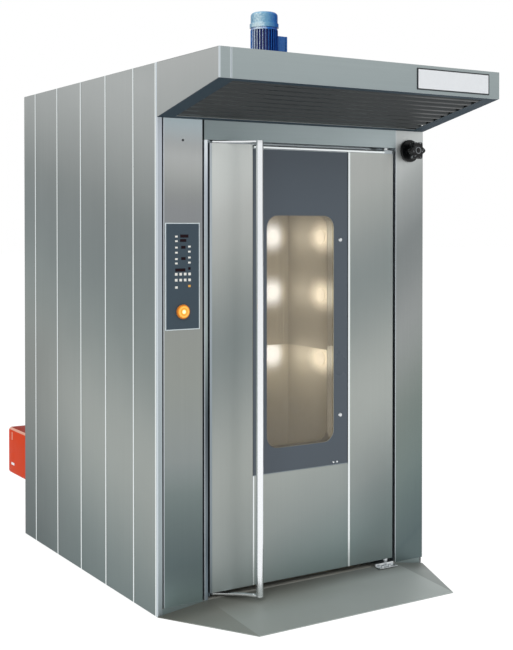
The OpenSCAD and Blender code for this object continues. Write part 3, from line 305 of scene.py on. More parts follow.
def ramp_plate(name, left_colour, right_colour):
    """Plate with a fine grain, lighter at the right, with a brown and dark painted shadow next to the door.
    """
    finish, start, place = open_finish(name)
    x, y = place.axes()[:2]
    fine = start.node("ShaderNodeTexNoise", {}, {"Vector": place, "Scale": 420.0, "Detail": 3.0})
    cloud = start.node("ShaderNodeTexNoise", {}, {"Vector": place, "Scale": 5.0, "Detail": 5.0})
    plate = x.between(-0.7, 0.5).mixed(left_colour, right_colour)
    # Painted shadow of the door: brown over the plate next to it, and darkest right at the door.
    door_shadow = y.between(-1.13, -0.85) * x.between(0.45, -0.2) * (cloud * 0.5 + 0.55)
    plate = door_shadow.mixed(plate, paint(112, 109, 98))
    plate = (y.between(-0.98, -0.85) * 0.62).mixed(plate, paint(58, 58, 52))
    plate = ((fine * 0.6 + cloud * 0.4) * 0.35).mixed(plate, paint(150, 156, 150))
    relief = start.node("ShaderNodeBump", {}, {"Strength": 0.15, "Distance": 0.0004, "Height": fine})
    close_finish(start, {"Base Color": plate, "Metallic": 0.35, "Roughness": cloud * 0.2 + 0.42,
        "Normal": relief})
    return finish


ramp_top = ramp_plate("ramp_plate", paint(162, 170, 166), paint(172, 180, 178))
# Painted shade: the sloped side facets take a darker copy of the plate.
ramp_facet_shade = ramp_plate("ramp_facet_painted_shade", paint(142, 148, 142), paint(144, 151, 149))
eased("entry_ramp", [ramp_top, ramp_facet_shade], radius=0.0012,
    facing=lambda face: face.normal.z > 0.5 and abs(face.normal.x) > 0.02)


# ---- Side, rear and roof cladding ----
# Folded stainless pans, brushed along their length and screwed to the frame. Painted light and dark
# bands of a large room's reflection lie over them, light at the top and teal grey near the floor, and
# painted shade darkens their lower rear.
lowest_shade, shade_span = -0.4, 3.1
strokes_across, strokes_along = 310.0, 1.6
fold_highlight = paint(226, 234, 240)


def brushed(name, shades, lean=(0.0, 0.0), along=2, highlight_lines=(), metallic=0.95, patches=()):
    """Brushed stainless. shades are painted bands of reflected light and shade, as (height in metres,
    colour), and lean tips the bands along x and y. highlight_lines are painted highlights along folds:
    axis, place and half width. patches paint light and shade over a lower corner: axis, where they begin
    and end along it and in height, share, and their shade."""
    finish, start, place = open_finish(name)
    spots = place.axes()
    wave = start.node("ShaderNodeTexNoise", {}, {"Vector": place, "Scale": 0.9, "Detail": 1.0})
    height = spots[2] + spots[0] * lean[0] + spots[1] * lean[1] + (wave - 0.5) * 0.08
    bands = start.node("ShaderNodeValToRGB",
        {"stops": [((h - lowest_shade) / shade_span, paint(*c)) for h, c in shades]},
        {0: (height - lowest_shade) / shade_span})
    stretch = [strokes_across] * 3
    stretch[along] = strokes_along
    strokes = start.node("ShaderNodeMapping", {}, {"Vector": place, "Scale": stretch})
    grain = start.node("ShaderNodeTexNoise", {},
        {"Vector": strokes, "Scale": 1.0, "Detail": 4.0, "Roughness": 0.7})
    cloud = start.node("ShaderNodeTexNoise", {}, {"Vector": place, "Scale": 3.1, "Detail": 3.0})
    colour = (grain * 0.2).mixed(bands, (0.66, 0.67, 0.66, 1.0), "MULTIPLY")
    colour = (cloud.between(0.35, 0.75) * 0.08).mixed(colour, (0.80, 0.82, 0.82, 1.0), "MULTIPLY")
    for axis, begins, ends, high, low, share, shade in patches:
        patch = spots[axis].between(begins, ends) * spots[2].between(high, low)
        colour = (patch * share).mixed(colour, paint(*shade))
    for axis, spot, half in highlight_lines:
        colour = (spots[axis].away(spot).between(half, half * 0.6) * 0.6).mixed(colour, fold_highlight)
    relief = start.node("ShaderNodeBump", {}, {"Strength": 0.10, "Distance": 0.0003, "Height": grain})
    close_finish(start, {"Base Color": colour, "Metallic": metallic,
        "Roughness": grain * 0.12 + cloud * 0.08 + 0.32, "Normal": relief})
    return finish


side_shades = [(0.0, (104, 118, 118)), (0.35, (130, 140, 138)), (0.8, (155, 161, 157)),
    (1.3, (131, 140, 138)), (1.72, (119, 128, 128)), (2.05, (136, 142, 141)), (2.5, (171, 175, 174))]
# The patch is painted shade over the lower rear of the sides.
side_steel = brushed("side_steel", side_shades, lean=(0.0, -0.20),
    patches=[(1, -0.2, 0.85, 1.55, 0.95, 0.34, (0, 0, 0))])
eased("left_cladding", [side_steel])
eased("right_cladding", [side_steel])
eased("rear_cladding", [side_steel])
roof_steel = brushed("roof_steel", [(0.0, (150, 155, 154)), (2.6, (176, 179, 178))], along=0)
eased("roof_panel", [roof_steel])


# ---- Seam strips ----
# Bright polished strips snapped over the joints between the side pans. On the right side their front
# ends are painted dark as the shade of the hood.
def polished(name, colour, roughness=0.2):
    """Bright polished metal with fine scratches."""
    finish, start, place = open_finish(name)
    scratch = start.node("ShaderNodeTexNoise", {}, {"Vector": place, "Scale": 180.0, "Detail": 5.0})
    tone = (scratch * 0.22).mixed(paint(*colour), paint(*(c * 0.82 for c in colour)))
    close_finish(start, {"Base Color": tone, "Metallic": 1.0,
        "Roughness": scratch * 0.16 + (roughness - 0.06)})
    return finish


strip_metal = polished("bright_strip", (234, 240, 240), roughness=0.28)
# Painted shade: the front ends under the hood take this dark finish.
strip_end_shade = coated("strip_end_shade", paint(112, 118, 120), roughness=0.5, metallic=0.5)
strip_end_x = 0.7
eased("seam_strips", [strip_metal, strip_end_shade], radius=0.0005,
    facing=lambda face: face.normal.y < -0.5 and face.calc_center_median().x > strip_end_x)


# ---- Front frame, columns and lintel ----
# The welded door frame, the folded covers left and right of the door and the lintel under the hood.
# Painted bands of reflected light and shade lie over them, and the folds of the covers carry painted
# highlights as thin bright lines. A round lock holds the left cover.
fold_half = 0.0045


def left_fold(node):
    """The painted highlight along the left upright fold of a piece."""
    return 0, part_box(node)[0].x, fold_half


jamb_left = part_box("lintel_panel")[0].x
post_shades = [(0.0, (162, 174, 178)), (1.0, (170, 180, 184)), (2.0, (182, 190, 198)), (2.5, (200, 208, 214))]
post_steel = brushed("post_steel", post_shades, highlight_lines=[left_fold("front_frame")])
jamb_shades = [(0.0, (160, 176, 188)), (0.22, (104, 116, 124)), (0.45, (110, 120, 126)),
    (0.7, (92, 100, 106)), (0.95, (94, 104, 108)), (1.25, (152, 164, 164)), (1.75, (168, 178, 184)),
    (2.0, (194, 202, 210)), (2.2, (245, 252, 255))]
jamb_steel = brushed("jamb_steel", jamb_shades, highlight_lines=[left_fold("lintel_panel")])
eased("front_frame", [post_steel, jamb_steel],
    facing=lambda face: face.calc_center_median().x > jamb_left - 0.01)
column_shades = [(-0.05, (146, 166, 166)), (0.09, (113, 128, 129)), (0.22, (101, 114, 115)),
    (0.5, (121, 132, 131)), (0.64, (141, 148, 147)), (1.1, (150, 154, 149)), (1.75, (142, 145, 147)),
    (1.88, (154, 157, 156)), (2.02, (180, 183, 182)), (2.11, (178, 183, 184)), (2.2, (190, 204, 209))]
column_steel = brushed("column_steel", column_shades, lean=(0.08, 0.0), highlight_lines=[left_fold("control_column")])
eased("control_column", [column_steel])
right_shades = [(-0.35, (94, 108, 109)), (-0.02, (113, 126, 124)), (0.35, (129, 138, 134)),
    (0.73, (152, 156, 155)), (1.05, (138, 143, 143)), (1.25, (143, 148, 148)), (1.5, (176, 180, 179)),
    (1.7, (206, 210, 209))]
right_steel = brushed("right_column_steel", right_shades, lean=(-0.76, 0.0),
    highlight_lines=[left_fold("right_column")])
eased("right_column", [right_steel])
lintel_steel = brushed("lintel_steel", [(2.0, (138, 150, 152)), (2.45, (186, 198, 200))], along=0,
    lean=(0.35, 0.0))
eased("lintel_panel", [lintel_steel])

lock_x, lock_z, lock_r, lock_t = -0.642, 2.156, 0.011, 0.003
column_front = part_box("control_column")[0].y
lock_mesh = bpy.data.meshes.new("column_lock")
toward_front = Matrix.Rotation(math.pi / 2, 4, "X")
work = bmesh.new()
for radius, reach in ((lock_r, lock_t * 0.6), (lock_r * 0.55, lock_t)):
    seat = Matrix.Translation((lock_x, column_front + lock_t - reach / 2, lock_z))
    bmesh.ops.create_cone(work, cap_ends=True, segments=32, radius1=radius, radius2=radius * 0.9, depth=reach,
        matrix=seat @ toward_front)
work.to_mesh(lock_mesh)
work.free()
smoothed(lock_mesh)
lock_blue = coated("lock_metal", paint(128, 152, 172), roughness=0.3, metallic=0.6, scale=90.0, spread=0.6)
shown("column_lock", lock_mesh, [lock_blue], "cabinet")
inner_sheet = coated("inner_sheet", paint(150, 154, 156), roughness=0.45, metallic=0.9, scale=14.0)
dressed(["control_box"], inner_sheet)


# ---- Steam hood ----
# A folded stainless canopy with painted highlights along its front corner, the joint of its fascia and the
# front edge of its cheeks. The underside is painted dark as shade and carries nine folded slats, which are
# painted dark as shade too. The framed plate on the fascia is blank.
fascia_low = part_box("hood_fascia")[0]
fascia_seam, seam_half, corner_half = 0.057, 0.006, 0.008
fascia_steel = brushed("fascia_steel", [(2.3, (154, 165, 167)), (2.5, (162, 172, 173))], along=0,
    lean=(-0.02, 0.0), highlight_lines=[(0, fascia_low.x, corner_half), (0, fascia_low.x + fascia_seam, seam_half)])
# Painted shade: the downward faces of the hood are painted dark.
underside_painted_shade = coated("hood_underside_shaded", paint(54, 68, 78),
    roughness=0.62, metallic=0.2, scale=6.0, spread=0.3, shine=0.1)
cheek_steel = brushed("cheek_steel", [(2.2, (160, 165, 164)), (2.5, (177, 180, 179))],
    highlight_lines=[(1, fascia_low.y + 0.002, seam_half)])
eased("hood_shell", [cheek_steel, underside_painted_shade], radius=0.0006,
    facing=lambda face: face.normal.z < -0.3)
eased("hood_fascia", [fascia_steel], radius=0.0006)
# Painted shade: the slats are painted dark.
slat_painted_shade = coated("slat_painted_shade", paint(62, 65, 66),
    roughness=0.45, metallic=0.6, scale=6.0, spread=0.3, shine=0.2)
eased("hood_slats", [slat_painted_shade], radius=0.0005)


def inside_edges(place, node):
    """Distance from the nearest edge of a flat piece, seen from the front."""
    low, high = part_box(node)
    spots = place.axes()
    nearest = None
    for axis in (0, 2):
        for reach in (spots[axis] - low[axis], high[axis] - spots[axis]):
            nearest = nearest.least(reach) if nearest else reach
    return nearest


plate_finish, start, place = open_finish("plate_face")
inset = inside_edges(place, "hood_plate")
dust = start.node("ShaderNodeTexNoise", {}, {"Vector": place, "Scale": 60.0, "Detail": 4.0})
plate_border, border_blur = 0.006, 0.0005
border = inset.between(plate_border + border_blur, plate_border - border_blur)
face = (dust * 0.2).mixed(paint(222, 225, 228), paint(200, 205, 209))
close_finish(start, {"Base Color": border.mixed(face, paint(36, 40, 44)), "Metallic": 0.25,
    "Roughness": dust * 0.2 + 0.35})
eased("hood_plate", [plate_finish], radius=0.0008)


# ---- Control panel ----
# Slate foil keypad in a thin light frame, with dark displays and white foil keys, one of them amber.
# The large start button is lit from inside and sits in an amber collar.
foil_finish, start, place = open_finish("panel_foil")
inset = inside_edges(place, "control_panel")
weave = start.node("ShaderNodeTexNoise", {}, {"Vector": place, "Scale": 300.0, "Detail": 3.0})
slate_face = (weave * 0.3).mixed(paint(58, 72, 82), paint(48, 60, 70))
panel_border, border_blur = 0.0038, 0.0004
border = inset.between(panel_border + border_blur, panel_border - border_blur)
close_finish(start, {"Base Color": border.mixed(slate_face, paint(205, 216, 220)),
    "Roughness": weave * 0.15 + 0.4, "Specular IOR Level": 0.25})
eased("control_panel", [foil_finish], radius=0.0005)
display = coated("display_window", paint(24, 4, 12),
    roughness=0.2, metallic=0.0, scale=60.0, spread=0.1, shine=0.12)
eased("display_windows", [display], radius=0.0003)
key_white = coated("key_white", paint(222, 222, 216), roughness=0.5, metallic=0.0, scale=60.0, spread=0.08)
key_amber = coated("key_amber", paint(214, 160, 74), roughness=0.5, metallic=0.0, scale=60.0, spread=0.08)
keys_low, keys_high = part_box("keypad_keys")
last_key_rise = 0.022
eased("keypad_keys", [key_white, key_amber], radius=0.0004,
    facing=lambda face: face.calc_center_median().z < keys_low.z + last_key_rise
    and face.calc_center_median().x > (keys_low.x + keys_high.x) / 2)


def from_centre(place, node):
    """Distance from the centre of a round piece, seen from the front."""
    low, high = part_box(node)
    x, z = place.axes()[::2]
    across = x - (low.x + high.x) / 2
    upward = z - (low.z + high.z) / 2
    return place.maths("SQRT", across * across + upward * upward)


button_finish, start, place = open_finish("lit_button")
rings_r = 0.030
ring_shades = [(0.0, paint(255, 253, 232)), (0.24, paint(255, 240, 178)), (0.38, paint(246, 178, 66)),
    (0.52, paint(222, 140, 40)), (0.68, paint(248, 186, 76)), (1.0, paint(226, 136, 40))]
rings = start.node("ShaderNodeValToRGB", {"stops": ring_shades},
    {0: from_centre(place, "start_button") / rings_r})
close_finish(start, {"Base Color": rings, "Roughness": 0.3, "Emission Color": rings,
    "Emission Strength": 0.25})
eased("start_button", [button_finish], radius=0.003, segments=3)
collar_amber = coated("collar_amber", paint(206, 126, 40),
    roughness=0.3, metallic=0.0, scale=60.0, spread=0.1, shine=0.3)
eased("button_collar", [collar_amber], radius=0.0015)


# ---- Damper control ----
# Black moulded flange and a lobed hand knob on the shaft of the steam damper. The knob carries painted
# highlights: a light ring round its cap and bright spots towards its rim.
black_plastic = coated("black_plastic", paint(15, 16, 17),
    roughness=0.22, metallic=0.0, scale=90.0, spread=0.3, shine=0.22, grain=0.3)
eased("damper_flange", [black_plastic], radius=0.003, segments=3)
knob_finish, start, place = open_finish("knob_plastic")
radius = from_centre(place, "damper_knob")
glint_noise = start.node("ShaderNodeTexNoise", {}, {"Vector": place, "Scale": 55.0, "Detail": 2.0})
# Painted highlights: a light ring round the cap and noisy bright spots towards the rim.
ring_inner, ring_outer, ring_blur, glints_from, glints_full = 0.01375, 0.01775, 0.00075, 0.018, 0.030
outside_ring = radius.between(ring_outer + ring_blur, ring_outer - ring_blur)
ring_glint = radius.between(ring_inner - ring_blur, ring_inner + ring_blur) * outside_ring
glint_spots = glint_noise.between(0.56, 0.66) * radius.between(glints_from, glints_full)
shine = (ring_glint * 0.7 + glint_spots * 0.8).least(1.0)
close_finish(start, {"Base Color": shine.mixed(paint(14, 15, 16), paint(150, 155, 158)), "Roughness": 0.25,
    "Specular IOR Level": 0.25})
eased("damper_knob", [knob_finish], radius=0.004, segments=3)


# ---- Insulation and baking chamber ----
# Mineral wool between the cladding and a chamber of heat-tinted stainless sheet. The upper wall sheets
# lap over the lower ones. Lamps behind round glasses light both walls; their pools of light are painted
# on the walls as glow, and below the lap the wall is painted lighter as the light of the lowest lamps.
wool_finish, start, place = open_finish("mineral_wool")
fibre = start.node("ShaderNodeTexNoise", {},
    {"Vector": place, "Scale": 120.0, "Detail": 8.0, "Distortion": 2.0})
tufts = start.node("ShaderNodeBump", {}, {"Strength": 0.6, "Distance": 0.002, "Height": fibre})
close_finish(start, {"Base Color": fibre.mixed(paint(150, 128, 78), paint(206, 186, 130)),
    "Roughness": 0.95, "Normal": tufts})
dressed(["wool_slabs"], wool_finish)
casing_sheet = coated("casing_sheet", paint(150, 154, 156), roughness=0.5, metallic=0.8, scale=14.0)
dressed(["inner_casing"], casing_sheet)

lamps_low, lamps_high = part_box("chamber_lamps")
lamp_r, lamp_pool_r, middle_row_rise, lap_height = 0.040, 0.15, 0.017, 1.056
middle_row = (lamps_low.z + lamps_high.z) / 2 + middle_row_rise
lamp_rows = (lamps_low.z + lamp_r, middle_row, lamps_high.z - lamp_r)
rear_lamp_x, side_lamp_y = lamps_low.x + lamp_r, lamps_low.y + lamp_r
trim_insets, trim_half = (0.035, 0.082), 0.003
off_wall, side_stretch = 4.0, 0.7


def lamp_spread(place):
    """Distance from the nearest lamp centre, along the wall that carries it. The light of the lowest
    row ends at the lap of the sheets."""
    x, y, z = place.axes()
    lowest = z.away(lamp_rows[0]) + z.between(lap_height - 0.001, lap_height + 0.001)
    rise = lowest.least(z.away(lamp_rows[1])).least(z.away(lamp_rows[2]))
    beside = []
    for across, wall in ((x.away(rear_lamp_x), y.away(lamps_high.y)),
            (y.away(side_lamp_y) * side_stretch, x.away(lamps_high.x))):
        beside.append(place.maths("SQRT", across * across + rise * rise) + wall * off_wall)
    return beside[0].least(beside[1])


def lamp_tint(place):
    """Nearly white at the lamps of the rear wall and warmer at those of the side wall."""
    rightward = place.axes()[0].between(rear_lamp_x + 0.05, lamps_high.x - 0.02)
    return rightward.mixed(paint(252, 251, 250), paint(240, 222, 192))


chamber_finish, start, place = open_finish("chamber_steel")
x, z = place.axes()[::2]
strokes = start.node("ShaderNodeMapping", {}, {"Vector": place, "Scale": (160.0, 160.0, 3.0)})
grain = start.node("ShaderNodeTexNoise", {}, {"Vector": strokes, "Scale": 1.0, "Detail": 4.0})
tint = start.node("ShaderNodeTexNoise", {}, {"Vector": place, "Scale": 4.0, "Detail": 4.0})
sheet = tint.mixed(paint(154, 147, 133), paint(176, 169, 154))
# Painted light: below the lap the wall is painted lighter as the pool of the lowest lamps.
below_lap_light = z.between(lap_height + 0.002, lap_height - 0.002) * z.between(0.75, 1.05, 1.0, 0.8)
sheet = (below_lap_light * 0.7).mixed(sheet, paint(226, 218, 198))
# Painted light: pools of lamp light on the walls, given as glow.
pool = lamp_spread(place).between(lamp_pool_r, 0.02)
unlit = (0.0, 0.0, 0.0, 1.0)
pool_light = (pool * pool).mixed(unlit, lamp_tint(place))
near_trim = x.away(lamps_high.x - trim_insets[0]).least(x.away(lamps_high.x - trim_insets[1]))
corner_trim = near_trim.between(trim_half + 0.001, trim_half - 0.001)
sheet = (corner_trim * 0.35).mixed(sheet, paint(216, 208, 190))
close_finish(start, {"Base Color": (grain * 0.3).mixed(sheet, paint(132, 124, 106)), "Metallic": 0.35,
    "Roughness": grain * 0.2 + 0.34, "Emission Color": pool_light, "Emission Strength": 1.2})
dressed(["chamber_left_wall", "chamber_right_wall", "chamber_rear_wall", "chamber_ceiling"], chamber_finish)
lens_finish, start, place = open_finish("lamp_lens")
glow = lamp_spread(place).between(0.09, 0.01)
close_finish(start, {"Base Color": paint(176, 169, 154), "Roughness": 0.4,
    "Emission Color": (glow * 0.2 + 0.8).mixed(unlit, lamp_tint(place)), "Emission Strength": 1.35})
eased("chamber_lamps", [lens_finish], radius=0.004, segments=3)
bulb_gap, bulb_power, bulb_r = 0.16, 0.9, 0.06
for height in lamp_rows:
    for wall, spot in (("rear", (rear_lamp_x, lamps_high.y - bulb_gap, height)),
            ("right", (lamps_high.x - bulb_gap, side_lamp_y, height))):
        bulb = bpy.data.lights.new("bulb_" + wall, "POINT")
        bulb.energy = bulb_power
        bulb.color = (1.0, 0.93, 0.80)
        bulb.shadow_soft_size = bulb_r
        bulb_object = bpy.data.objects.new("bulb_" + wall, bulb)
        bulb_object.location = spot
        bulb_object.visible_glossy = False
        bpy.context.scene.collection.objects.link(bulb_object)


# ---- Heat, steam and air ----
# Scale-resistant steel for the flame, cast iron for the steam cascade, brass for the water pipe.
# Ducts, flue and fan wheel are galvanised, and the fan's motor on the rear wall is enamelled.
heat_steel = coated("heat_steel", paint(126, 104, 92), roughness=0.6, metallic=0.8, scale=12.0, spread=0.6)
dressed(["combustion_chamber", "exchanger_tubes"], heat_steel)
galvanised = coated("galvanised", paint(176, 182, 186), roughness=0.4, metallic=0.9, scale=26.0, spread=0.3)
dressed(["steam_duct", "damper_flap", "fan_wheel"], galvanised)
eased("flue_pipe", [galvanised], radius=0.0006)
cast_iron = coated("cast_iron", paint(84, 66, 54), roughness=0.75, metallic=0.6, scale=60.0, spread=0.5)
dressed(["steam_cascade"], cast_iron)
brass = coated("brass", paint(196, 156, 84), roughness=0.35, metallic=1.0, scale=20.0)
dressed(["water_pipe"], brass)
rear_motor_blue = coated("rear_motor_blue", paint(34, 84, 178),
    roughness=0.3, metallic=0.0, scale=20.0, spread=0.2)
eased("fan_motor", [rear_motor_blue], radius=0.0006)


# ---- Screws ----
# Flat-headed socket screws hold the rear and roof panels, the gear flange and the glass surround.
# Each row is a set of points that Geometry Nodes dresses with heads.
def new_tree(name, inputs):
    """An empty Geometry Nodes tree with named inputs, and the flows that leave them."""
    tree = bpy.data.node_groups.new(name, "GeometryNodeTree")
    for title, kind in inputs.items():
        tree.interface.new_socket(title, in_out="INPUT", socket_type="NodeSocket" + kind)
    tree.interface.new_socket("Geometry", in_out="OUTPUT", socket_type="NodeSocketGeometry")
    source = tree.nodes.new("NodeGroupInput")
    return tree, {title: Flow(tree, source.outputs[title]) for title in inputs}


def close_tree(tree, result):
    drain = tree.nodes.new("NodeGroupOutput")
    tree.links.new(result.socket, drain.inputs["Geometry"])


def grown(name, tree, base, inputs):
    """Runs a Geometry Nodes tree on a mesh and gives the plain mesh that it makes."""
    holder = bpy.data.objects.new(name + "_holder", base)
    bpy.context.scene.collection.objects.link(holder)
    modifier = holder.modifiers.new(name, "NODES")
    modifier.node_group = tree
    for item in tree.interface.items_tree:
        if item.in_out == "INPUT" and item.name in inputs:
            modifier[item.identifier] = inputs[item.name]
    graph = bpy.context.evaluated_depsgraph_get()
    mesh = bpy.data.meshes.new_from_object(holder.evaluated_get(graph))
    holder.modifiers.remove(modifier)
    bpy.data.objects.remove(holder)
    return mesh


screw_tree, flow = new_tree("screw_heads", {"Geometry": "Geometry", "Radius": "Float", "Rise": "Float",
    "Facing": "Vector", "Finish": "Material", "Socket finish": "Material"})
head = flow["Radius"].node("GeometryNodeMeshCone", {}, {"Vertices": 20,
    "Radius Top": flow["Radius"] * 0.72, "Radius Bottom": flow["Radius"], "Depth": flow["Rise"]})
head = head.node("GeometryNodeSetMaterial", {}, {"Geometry": head, "Material": flow["Finish"]})
hexagon = head.node("GeometryNodeMeshCylinder", {}, {"Vertices": 6, "Radius": flow["Radius"] * 0.42,
    "Depth": 0.0004})
hexagon = head.node("GeometryNodeTransform", {}, {"Geometry": hexagon,
    "Translation": head.node("ShaderNodeCombineXYZ", {}, {"Z": flow["Rise"]})})
hexagon = head.node("GeometryNodeSetMaterial", {}, {"Geometry": hexagon, "Material": flow["Socket finish"]})
both_parts = head.node("GeometryNodeJoinGeometry", {}, {"Geometry": head})
head.tree.links.new(hexagon.socket, both_parts.socket.node.inputs["Geometry"])
placed = head.node("GeometryNodeInstanceOnPoints", {}, {"Points": flow["Geometry"], "Instance": both_parts,
    "Rotation": flow["Facing"]})
close_tree(screw_tree, head.node("GeometryNodeRealizeInstances", {}, {"Geometry": placed}))

screw_metal = polished("screw_metal", (216, 220, 222), roughness=0.25)
socket_dark = coated("socket_dark", paint(22, 23, 24), roughness=0.6, metallic=0.0, scale=90.0)
up, front, back = (0.0, 0.0, 0.0), (math.pi / 2, 0.0, 0.0), (-math.pi / 2, 0.0, 0.0)


def screws(name, spots, facing, body, radius, rise, socket=socket_dark):
    """Screw heads on points of a body."""
    points = bpy.data.meshes.new(name + "_points")
    points.from_pydata([tuple(spot) for spot in spots], [], [])
    mesh = grown(name, screw_tree, points, {"Radius": radius, "Rise": rise, "Facing": facing,
        "Finish": screw_metal, "Socket finish": socket})
    smoothed(mesh)
    shown(name, mesh, (), body)


def rim_points(low, high, inset, steps, flat):
    """Points along the four edges of a panel, evenly spaced. flat is the axis across the panel."""
    a, b = [axis for axis in range(3) if axis != flat]
    points = set()
    for edge_axis, other, count in ((a, b, steps[0]), (b, a, steps[1])):
        for i in range(count + 1):
            for end in (low[other] + inset, high[other] - inset):
                spot = [0.0, 0.0, 0.0]
                run = high[edge_axis] - low[edge_axis] - 2 * inset
                spot[edge_axis] = low[edge_axis] + inset + run * i / count
                spot[other] = end
                spot[flat] = high[flat]
                points.add(tuple(round(c, 5) for c in spot))
    return sorted(points)


rim_inset = 0.014
for name, panel, steps, flat, facing in (("rear_screws", "rear_cladding", (6, 9), 1, back),
        ("roof_screws", "roof_panel", (6, 6), 2, up)):
    screws(name, rim_points(*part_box(panel), rim_inset, steps, flat), facing, "cabinet",
        radius=0.006, rise=0.0022)


# ---- Burner ----
# A purchased burner on the rear wall: cast body and fan under a rounded red cover with cooling slots.
# A clip holds the cover at its left side, and a pale strip above it is a painted reflection. The cover's
# upper edges carry a painted highlight and its top is in painted shade.
burner_grey = coated("burner_casting", paint(120, 122, 124), roughness=0.5, metallic=0.6, scale=50.0)
eased("burner_body", [burner_grey], radius=0.002)
# Painted light and shade: the top is painted darker and the upper edges pale.
burner_red = coated("burner_red", paint(240, 64, 0),
    roughness=0.34, metallic=0.0, scale=12.0, spread=0.1, shine=0.02)
burner_top_shade = coated("burner_top_red_shaded", paint(150, 40, 18),
    roughness=0.5, metallic=0.0, scale=12.0, spread=0.2, shine=0.05)
red_painted_highlight = coated("red_painted_highlight", paint(246, 158, 132),
    roughness=0.3, metallic=0.0, scale=12.0, spread=0.1, shine=0.3)
cover_low, cover_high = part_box("burner_cover")


def cover_finish(face):
    """0 for the sides of the cover, 1 for its upper edges with a painted highlight and 2 for its top in
    painted shade.
    """
    if face.normal.z > 0.9:
        return 2
    return int(face.normal.z > 0.3 and abs(face.normal.x) > 0.3)


eased("burner_cover", [burner_red, red_painted_highlight, burner_top_shade], radius=0.0008, facing=cover_finish)
dressed(["burner_fan"], galvanised)

repeat_tree, flow = new_tree("repeated", {"Geometry": "Geometry", "Count": "Int", "Step": "Vector",
    "Turn": "Float", "Finish": "Material"})
row = flow["Step"].node("GeometryNodeMeshLine", {"mode": "OFFSET"},
    {"Count": flow["Count"], "Offset": flow["Step"]})
number = row.node("GeometryNodeInputIndex")
angle = row.node("ShaderNodeCombineXYZ", {}, {"Z": number * flow["Turn"]})
copies = row.node("GeometryNodeInstanceOnPoints", {}, {"Points": row, "Instance": flow["Geometry"],
    "Rotation": angle})
copies = row.node("GeometryNodeRealizeInstances", {}, {"Geometry": copies})
copies = row.node("GeometryNodeSetMaterial", {}, {"Geometry": copies, "Material": flow["Finish"]})
close_tree(repeat_tree, copies)


def block(name, low, high, taper=1.0):
    """A box whose outer end along x may be narrower in y."""
    low, high = Vector(low), Vector(high)
    mesh = bpy.data.meshes.new(name)
    work = bmesh.new()
    bmesh.ops.create_cube(work, size=1.0)
    for vertex in work.verts:
        if vertex.co.x > 0:
            vertex.co.y *= taper
        vertex.co = Vector([low[i] + (high[i] - low[i]) * (vertex.co[i] + 0.5) for i in range(3)])
    work.to_mesh(mesh)
    work.free()
    return mesh


clip_metal = polished("clip_metal", (236, 238, 240), roughness=0.3)
clip_y, clip_z, clip_l, clip_h = 1.166, 0.322, 0.050, 0.014
streak_y, streak_z, streak_l, streak_h = 1.198, 0.472, 0.012, 0.046
fitting_rise, fitting_depth = 0.0012, 0.001
for name, finish, near_y, foot_z, length, height in (
        ("burner_clip", clip_metal, clip_y, clip_z, clip_l, clip_h),
        ("burner_catch", red_painted_highlight, streak_y, streak_z, streak_l, streak_h)):
    fitting = block(name, (cover_low.x - fitting_rise, near_y, foot_z),
        (cover_low.x + fitting_depth, near_y + length, foot_z + height))
    shown(name, fitting, [finish], "cabinet")
slot_count, slot_pitch, slot_h, slot_l, slot_from_rear, slot_half_t = 7, 0.022, 0.009, 0.10, 0.16, 0.0004
slot_z = (cover_low.z + cover_high.z - slot_pitch * slot_count) / 2
slot_low = Vector((cover_high.x - slot_half_t, cover_high.y - slot_from_rear, slot_z))
slots = grown("burner_slots", repeat_tree,
    block("burner_slot", slot_low, slot_low + Vector((2 * slot_half_t, slot_l, slot_h))),
    {"Count": slot_count, "Step": (0.0, 0.0, slot_pitch), "Turn": 0.0, "Finish": socket_dark})
shown("burner_slots", slots, (), "cabinet")


# ---- Roof drive ----
# Gear unit and standard motor in blue gloss enamel, over the shaft and hook that turn the rack. The
# barrel is a casting with radial fins around it, a terminal box at its side and a pressed fan cowl on
# top. Light and shade are painted into the blue of the gear unit, barrel and cowl by how far each side
# faces the room's light, so the cowl is pale on its lit side, and the barrel is painted dark between its
# fins.
axis_x, axis_y = [sum(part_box("rotor_shaft")[side][axis] for side in (0, 1)) / 2 for axis in (0, 1)]
toward_light = (-0.88, -0.47)
grille_low_r, grille_high_r, grille_count, grille_blur = 0.0255, 0.052, 18.0, 0.0015


def gloss_blue(name, shades, reach, valley=None, slots=False):
    """Blue gloss paint on a round piece, with light and shade painted in by how far it faces the light.
    valley is the radius of the barrel between its fins, inside which it is painted dark as shade. slots
    adds the air slots of a fan cowl."""
    finish, start, place = open_finish(name)
    x, y = place.axes()[:2]
    x, y = x - axis_x, y - axis_y
    lit = (x * toward_light[0] + y * toward_light[1]) / reach
    speck = start.node("ShaderNodeTexNoise", {}, {"Vector": place, "Scale": 90.0, "Detail": 4.0})
    colour = start.node("ShaderNodeValToRGB",
        {"stops": [((facing + 1) / 2, paint(*c)) for facing, c in shades]},
        {0: (lit + (speck - 0.5) * 0.3 + 1.0) / 2})
    radius = start.maths("SQRT", x * x + y * y)
    if valley:
        colour = radius.between(valley + 0.004, valley).mixed(colour, paint(10, 32, 96))
    if slots:
        spokes = start.maths("SINE", start.maths("ARCTAN2", y, x) * grille_count).between(0.1, 0.3)
        inner = radius.between(grille_low_r - grille_blur, grille_low_r + grille_blur)
        outer = radius.between(grille_high_r + 0.002, grille_high_r - 0.002)
        grille = spokes * inner * outer
        colour = grille.mixed(colour, paint(12, 20, 44))
    close_finish(start, {"Base Color": colour, "Roughness": speck * 0.15 + 0.15, "Specular IOR Level": 0.25})
    return finish


